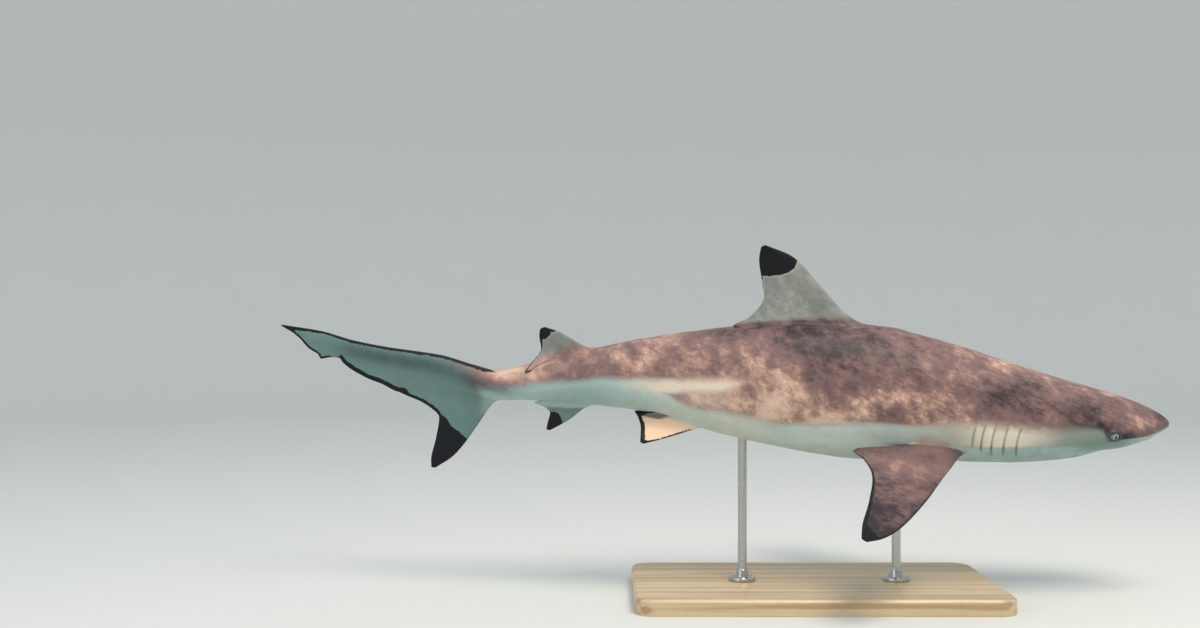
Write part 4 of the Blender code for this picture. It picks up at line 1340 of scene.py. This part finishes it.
def mesh_of(name, rings, caps):
    """A mesh through rings of points, with a flat cap on these rings."""
    around = len(rings[0])
    faces = [tuple(range(i * around, (i + 1) * around)) for i in caps]
    for i in range(0, (len(rings) - 1) * around, around):
        for j in range(around):
            after = (j + 1) % around
            faces.append((i + j, i + around + j, i + around + after, i + after))
    mesh = bpy.data.meshes.new(name)
    mesh.from_pydata([point for ring in rings for point in ring], [], faces)
    return mesh


def solid_of(name, rings, material):
    """A closed solid through rings of points, with sharp edges where it turns sharply."""
    mesh = mesh_of(name, rings, caps=(0, len(rings) - 1))
    face_out(mesh)
    mesh.set_sharp_from_angle(angle=math.radians(35))
    mesh.materials.append(material)
    return new_object(name, mesh)


# One screw: a button head with a hexagon socket, whose rings turn from round to six-sided.
socket_turn = 2 * math.pi * np.arange(SCREW_AROUND) / SCREW_AROUND
corner_turn = (socket_turn + math.pi / 6) % (math.pi / 3) - math.pi / 6
six_sided = SOCKET_HALF_WIDTH / np.cos(corner_turn)
head = [(1.0, 0.0), (1.0, 0.25), (0.93, 0.6), (0.78, 0.88), (0.6, 1.0)]
screw_rings = lathe([(r * SCREW_RADIUS, z * SCREW_HEIGHT) for r, z in head], SCREW_AROUND, (0, 0))
for depth in (1.0, 0.35):
    screw_rings.append([
        (r * math.cos(a), r * math.sin(a), depth * SCREW_HEIGHT) for r, a in zip(six_sided, socket_turn)
    ])
one_screw = solid_of("one_screw", screw_rings, steel)

# The screws stand in a circle on the foot: a ring of points, a screw at each, turned at random.
screw_tree = bpy.data.node_groups.new("screws_in_a_circle", "GeometryNodeTree")
for name, kind, way in (
    ("Geometry", "NodeSocketGeometry", "OUTPUT"), ("Count", "NodeSocketInt", "INPUT"),
    ("Circle radius", "NodeSocketFloat", "INPUT"), ("Foot", "NodeSocketVector", "INPUT"),
    ("Screw", "NodeSocketObject", "INPUT"), ("Material", "NodeSocketMaterial", "INPUT"),
):
    screw_tree.interface.new_socket(name, in_out=way, socket_type=kind)
entry = screw_tree.nodes.new("NodeGroupInput").outputs
ring = {"Vertices": entry["Count"], "Radius": entry["Circle radius"]}
ring = node(screw_tree, "GeometryNodeMeshCircle", ring)
screw = node(screw_tree, "GeometryNodeObjectInfo", {"Object": entry["Screw"]}, out="Geometry")
lots = node(
    screw_tree, "FunctionNodeRandomValue", {0: (0, 0, 0), 1: (0, 0, 2 * math.pi), "Seed": 3},
    data_type="FLOAT_VECTOR",
)
screws = {"Points": ring, "Instance": screw, "Rotation": lots}
screws = node(screw_tree, "GeometryNodeInstanceOnPoints", screws)
screws = node(screw_tree, "GeometryNodeTransform", {"Geometry": screws, "Translation": entry["Foot"]})
screws = node(screw_tree, "GeometryNodeRealizeInstances", {"Geometry": screws})
screws = node(screw_tree, "GeometryNodeSetMaterial", {"Geometry": screws, "Material": entry["Material"]})
node(screw_tree, "NodeGroupOutput", {"Geometry": screws})
sockets = {item.name: item.identifier for item in screw_tree.interface.items_tree}

for end in ("front", "rear"):
    low, high = (Vector(corner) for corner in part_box("stand_rod_" + end))
    centre = ((low.x + high.x) / 2, (low.y + high.y) / 2)
    foot_top = low.z + FOOT_HEIGHT

    # The foot's turned profile, from under it, over its rim and its collar, to the rod.
    profile = [
        (0.5 * FOOT_RADIUS, low.z), (FOOT_RADIUS - 0.0005, low.z), (FOOT_RADIUS, low.z + 0.0005),
        (FOOT_RADIUS, foot_top - 0.0015), (FOOT_RADIUS - 0.0006, foot_top - 0.0004),
        (FOOT_RADIUS - 0.0016, foot_top), (0.0116, foot_top), (0.0103, foot_top + 0.0006),
        (0.0098, foot_top + 0.0016), (0.0098, foot_top + 0.0105), (0.0092, foot_top + 0.0116),
        (0.0079, foot_top + 0.0122), (0.0073, foot_top + 0.0130), (ROD_RADIUS, foot_top + 0.0150),
    ]
    rod_rings = lathe(profile, ROD_AROUND, centre)
    top = []
    for x, y, z in rod_rings[-1]:
        hit, _, _, _ = skin_tree.ray_cast(Vector((x, y, z)), Vector((0, 0, 1)))
        top.append((x, y, hit.z + ROD_ENDS_INSIDE))
    rod_rings.append(top)
    rod = solid_of("steel_rod_" + end, rod_rings, steel)
    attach(rod, "root")
    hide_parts("stand_rod_" + end)

    holder = new_object("screw_maker", bpy.data.meshes.new("screw_maker"))
    modifier = holder.modifiers.new("screws", "NODES")
    modifier.node_group = screw_tree
    for name, value in (
        ("Count", SCREWS), ("Circle radius", SCREW_CIRCLE), ("Foot", (*centre, foot_top)),
        ("Screw", one_screw), ("Material", steel),
    ):
        modifier[sockets[name]] = value
    made = holder.evaluated_get(bpy.context.evaluated_depsgraph_get())
    screws = new_object("foot_screws_" + end, bpy.data.meshes.new_from_object(made))
    bpy.data.objects.remove(holder)
    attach(screws, "root")
bpy.data.objects.remove(one_screw)

# --- The floor, the light and the camera ----------------------------------------------------
# A plain pale studio floor, which curves up all round into a wall, two large soft lamps and a soft
# sky, and a level camera beside the shark.

FLOOR_RADIUS = 4.2
COVE_RADIUS = 1.6
WALL_HEIGHT = 4.0
FLOOR_AROUND = 128
cove = [(FLOOR_RADIUS + COVE_RADIUS * math.sin(a), COVE_RADIUS * (1 - math.cos(a)))
        for a in np.linspace(0, math.pi / 2, 17)]
profile = [(0.001, 0.0), (0.6, 0.0), (2.0, 0.0), *cove, (FLOOR_RADIUS + COVE_RADIUS, WALL_HEIGHT)]
floor_mesh = mesh_of("studio_floor", lathe(profile, FLOOR_AROUND, (0, 0)), caps=(0,))
floor_mesh.shade_smooth()
floor = new_object("studio_floor", floor_mesh)

# Matt paint, which takes soft shadows and reflects nothing.
floor_material, tree, shader = new_material("studio_floor_matte")
shader.inputs["Base Color"].default_value = linear("#D6D8D6")
shader.inputs["Roughness"].default_value = 0.95
floor_mesh.materials.append(floor_material)

world = bpy.data.worlds.new("studio")
world.use_nodes = True
world.node_tree.nodes["Background"].inputs["Color"].default_value = linear("#E2E9ED")
world.node_tree.nodes["Background"].inputs["Strength"].default_value = 1.0
bpy.context.scene.world = world

for name, place, target, size, power, colour in (
    ("key_lamp", (0.7, -1.3, 2.7), (0, 0, 0.3), 1.3, 62, "#FFF2E2"),
    ("fill_lamp", (-2.4, -1.8, 1.6), (-0.2, 0, 0.3), 2.0, 16, "#EAF2FF"),
):
    data = bpy.data.lights.new(name, "AREA")
    data.size, data.energy, data.color = size, power, linear(colour)[:3]
    lamp = new_object(name, data)
    lamp.location = place
    lamp.rotation_euler = (Vector(target) - Vector(place)).to_track_quat("-Z", "Y").to_euler()

camera_data = bpy.data.cameras.new("camera")
camera_data.lens = 40
camera_data.sensor_width = 36
camera = new_object("camera", camera_data)
camera.location = (-0.332, -2.08, 0.439)
camera.rotation_euler = (math.radians(90), 0, 0)
bpy.context.scene.camera = camera
bpy.context.scene.view_settings.view_transform = "Standard"
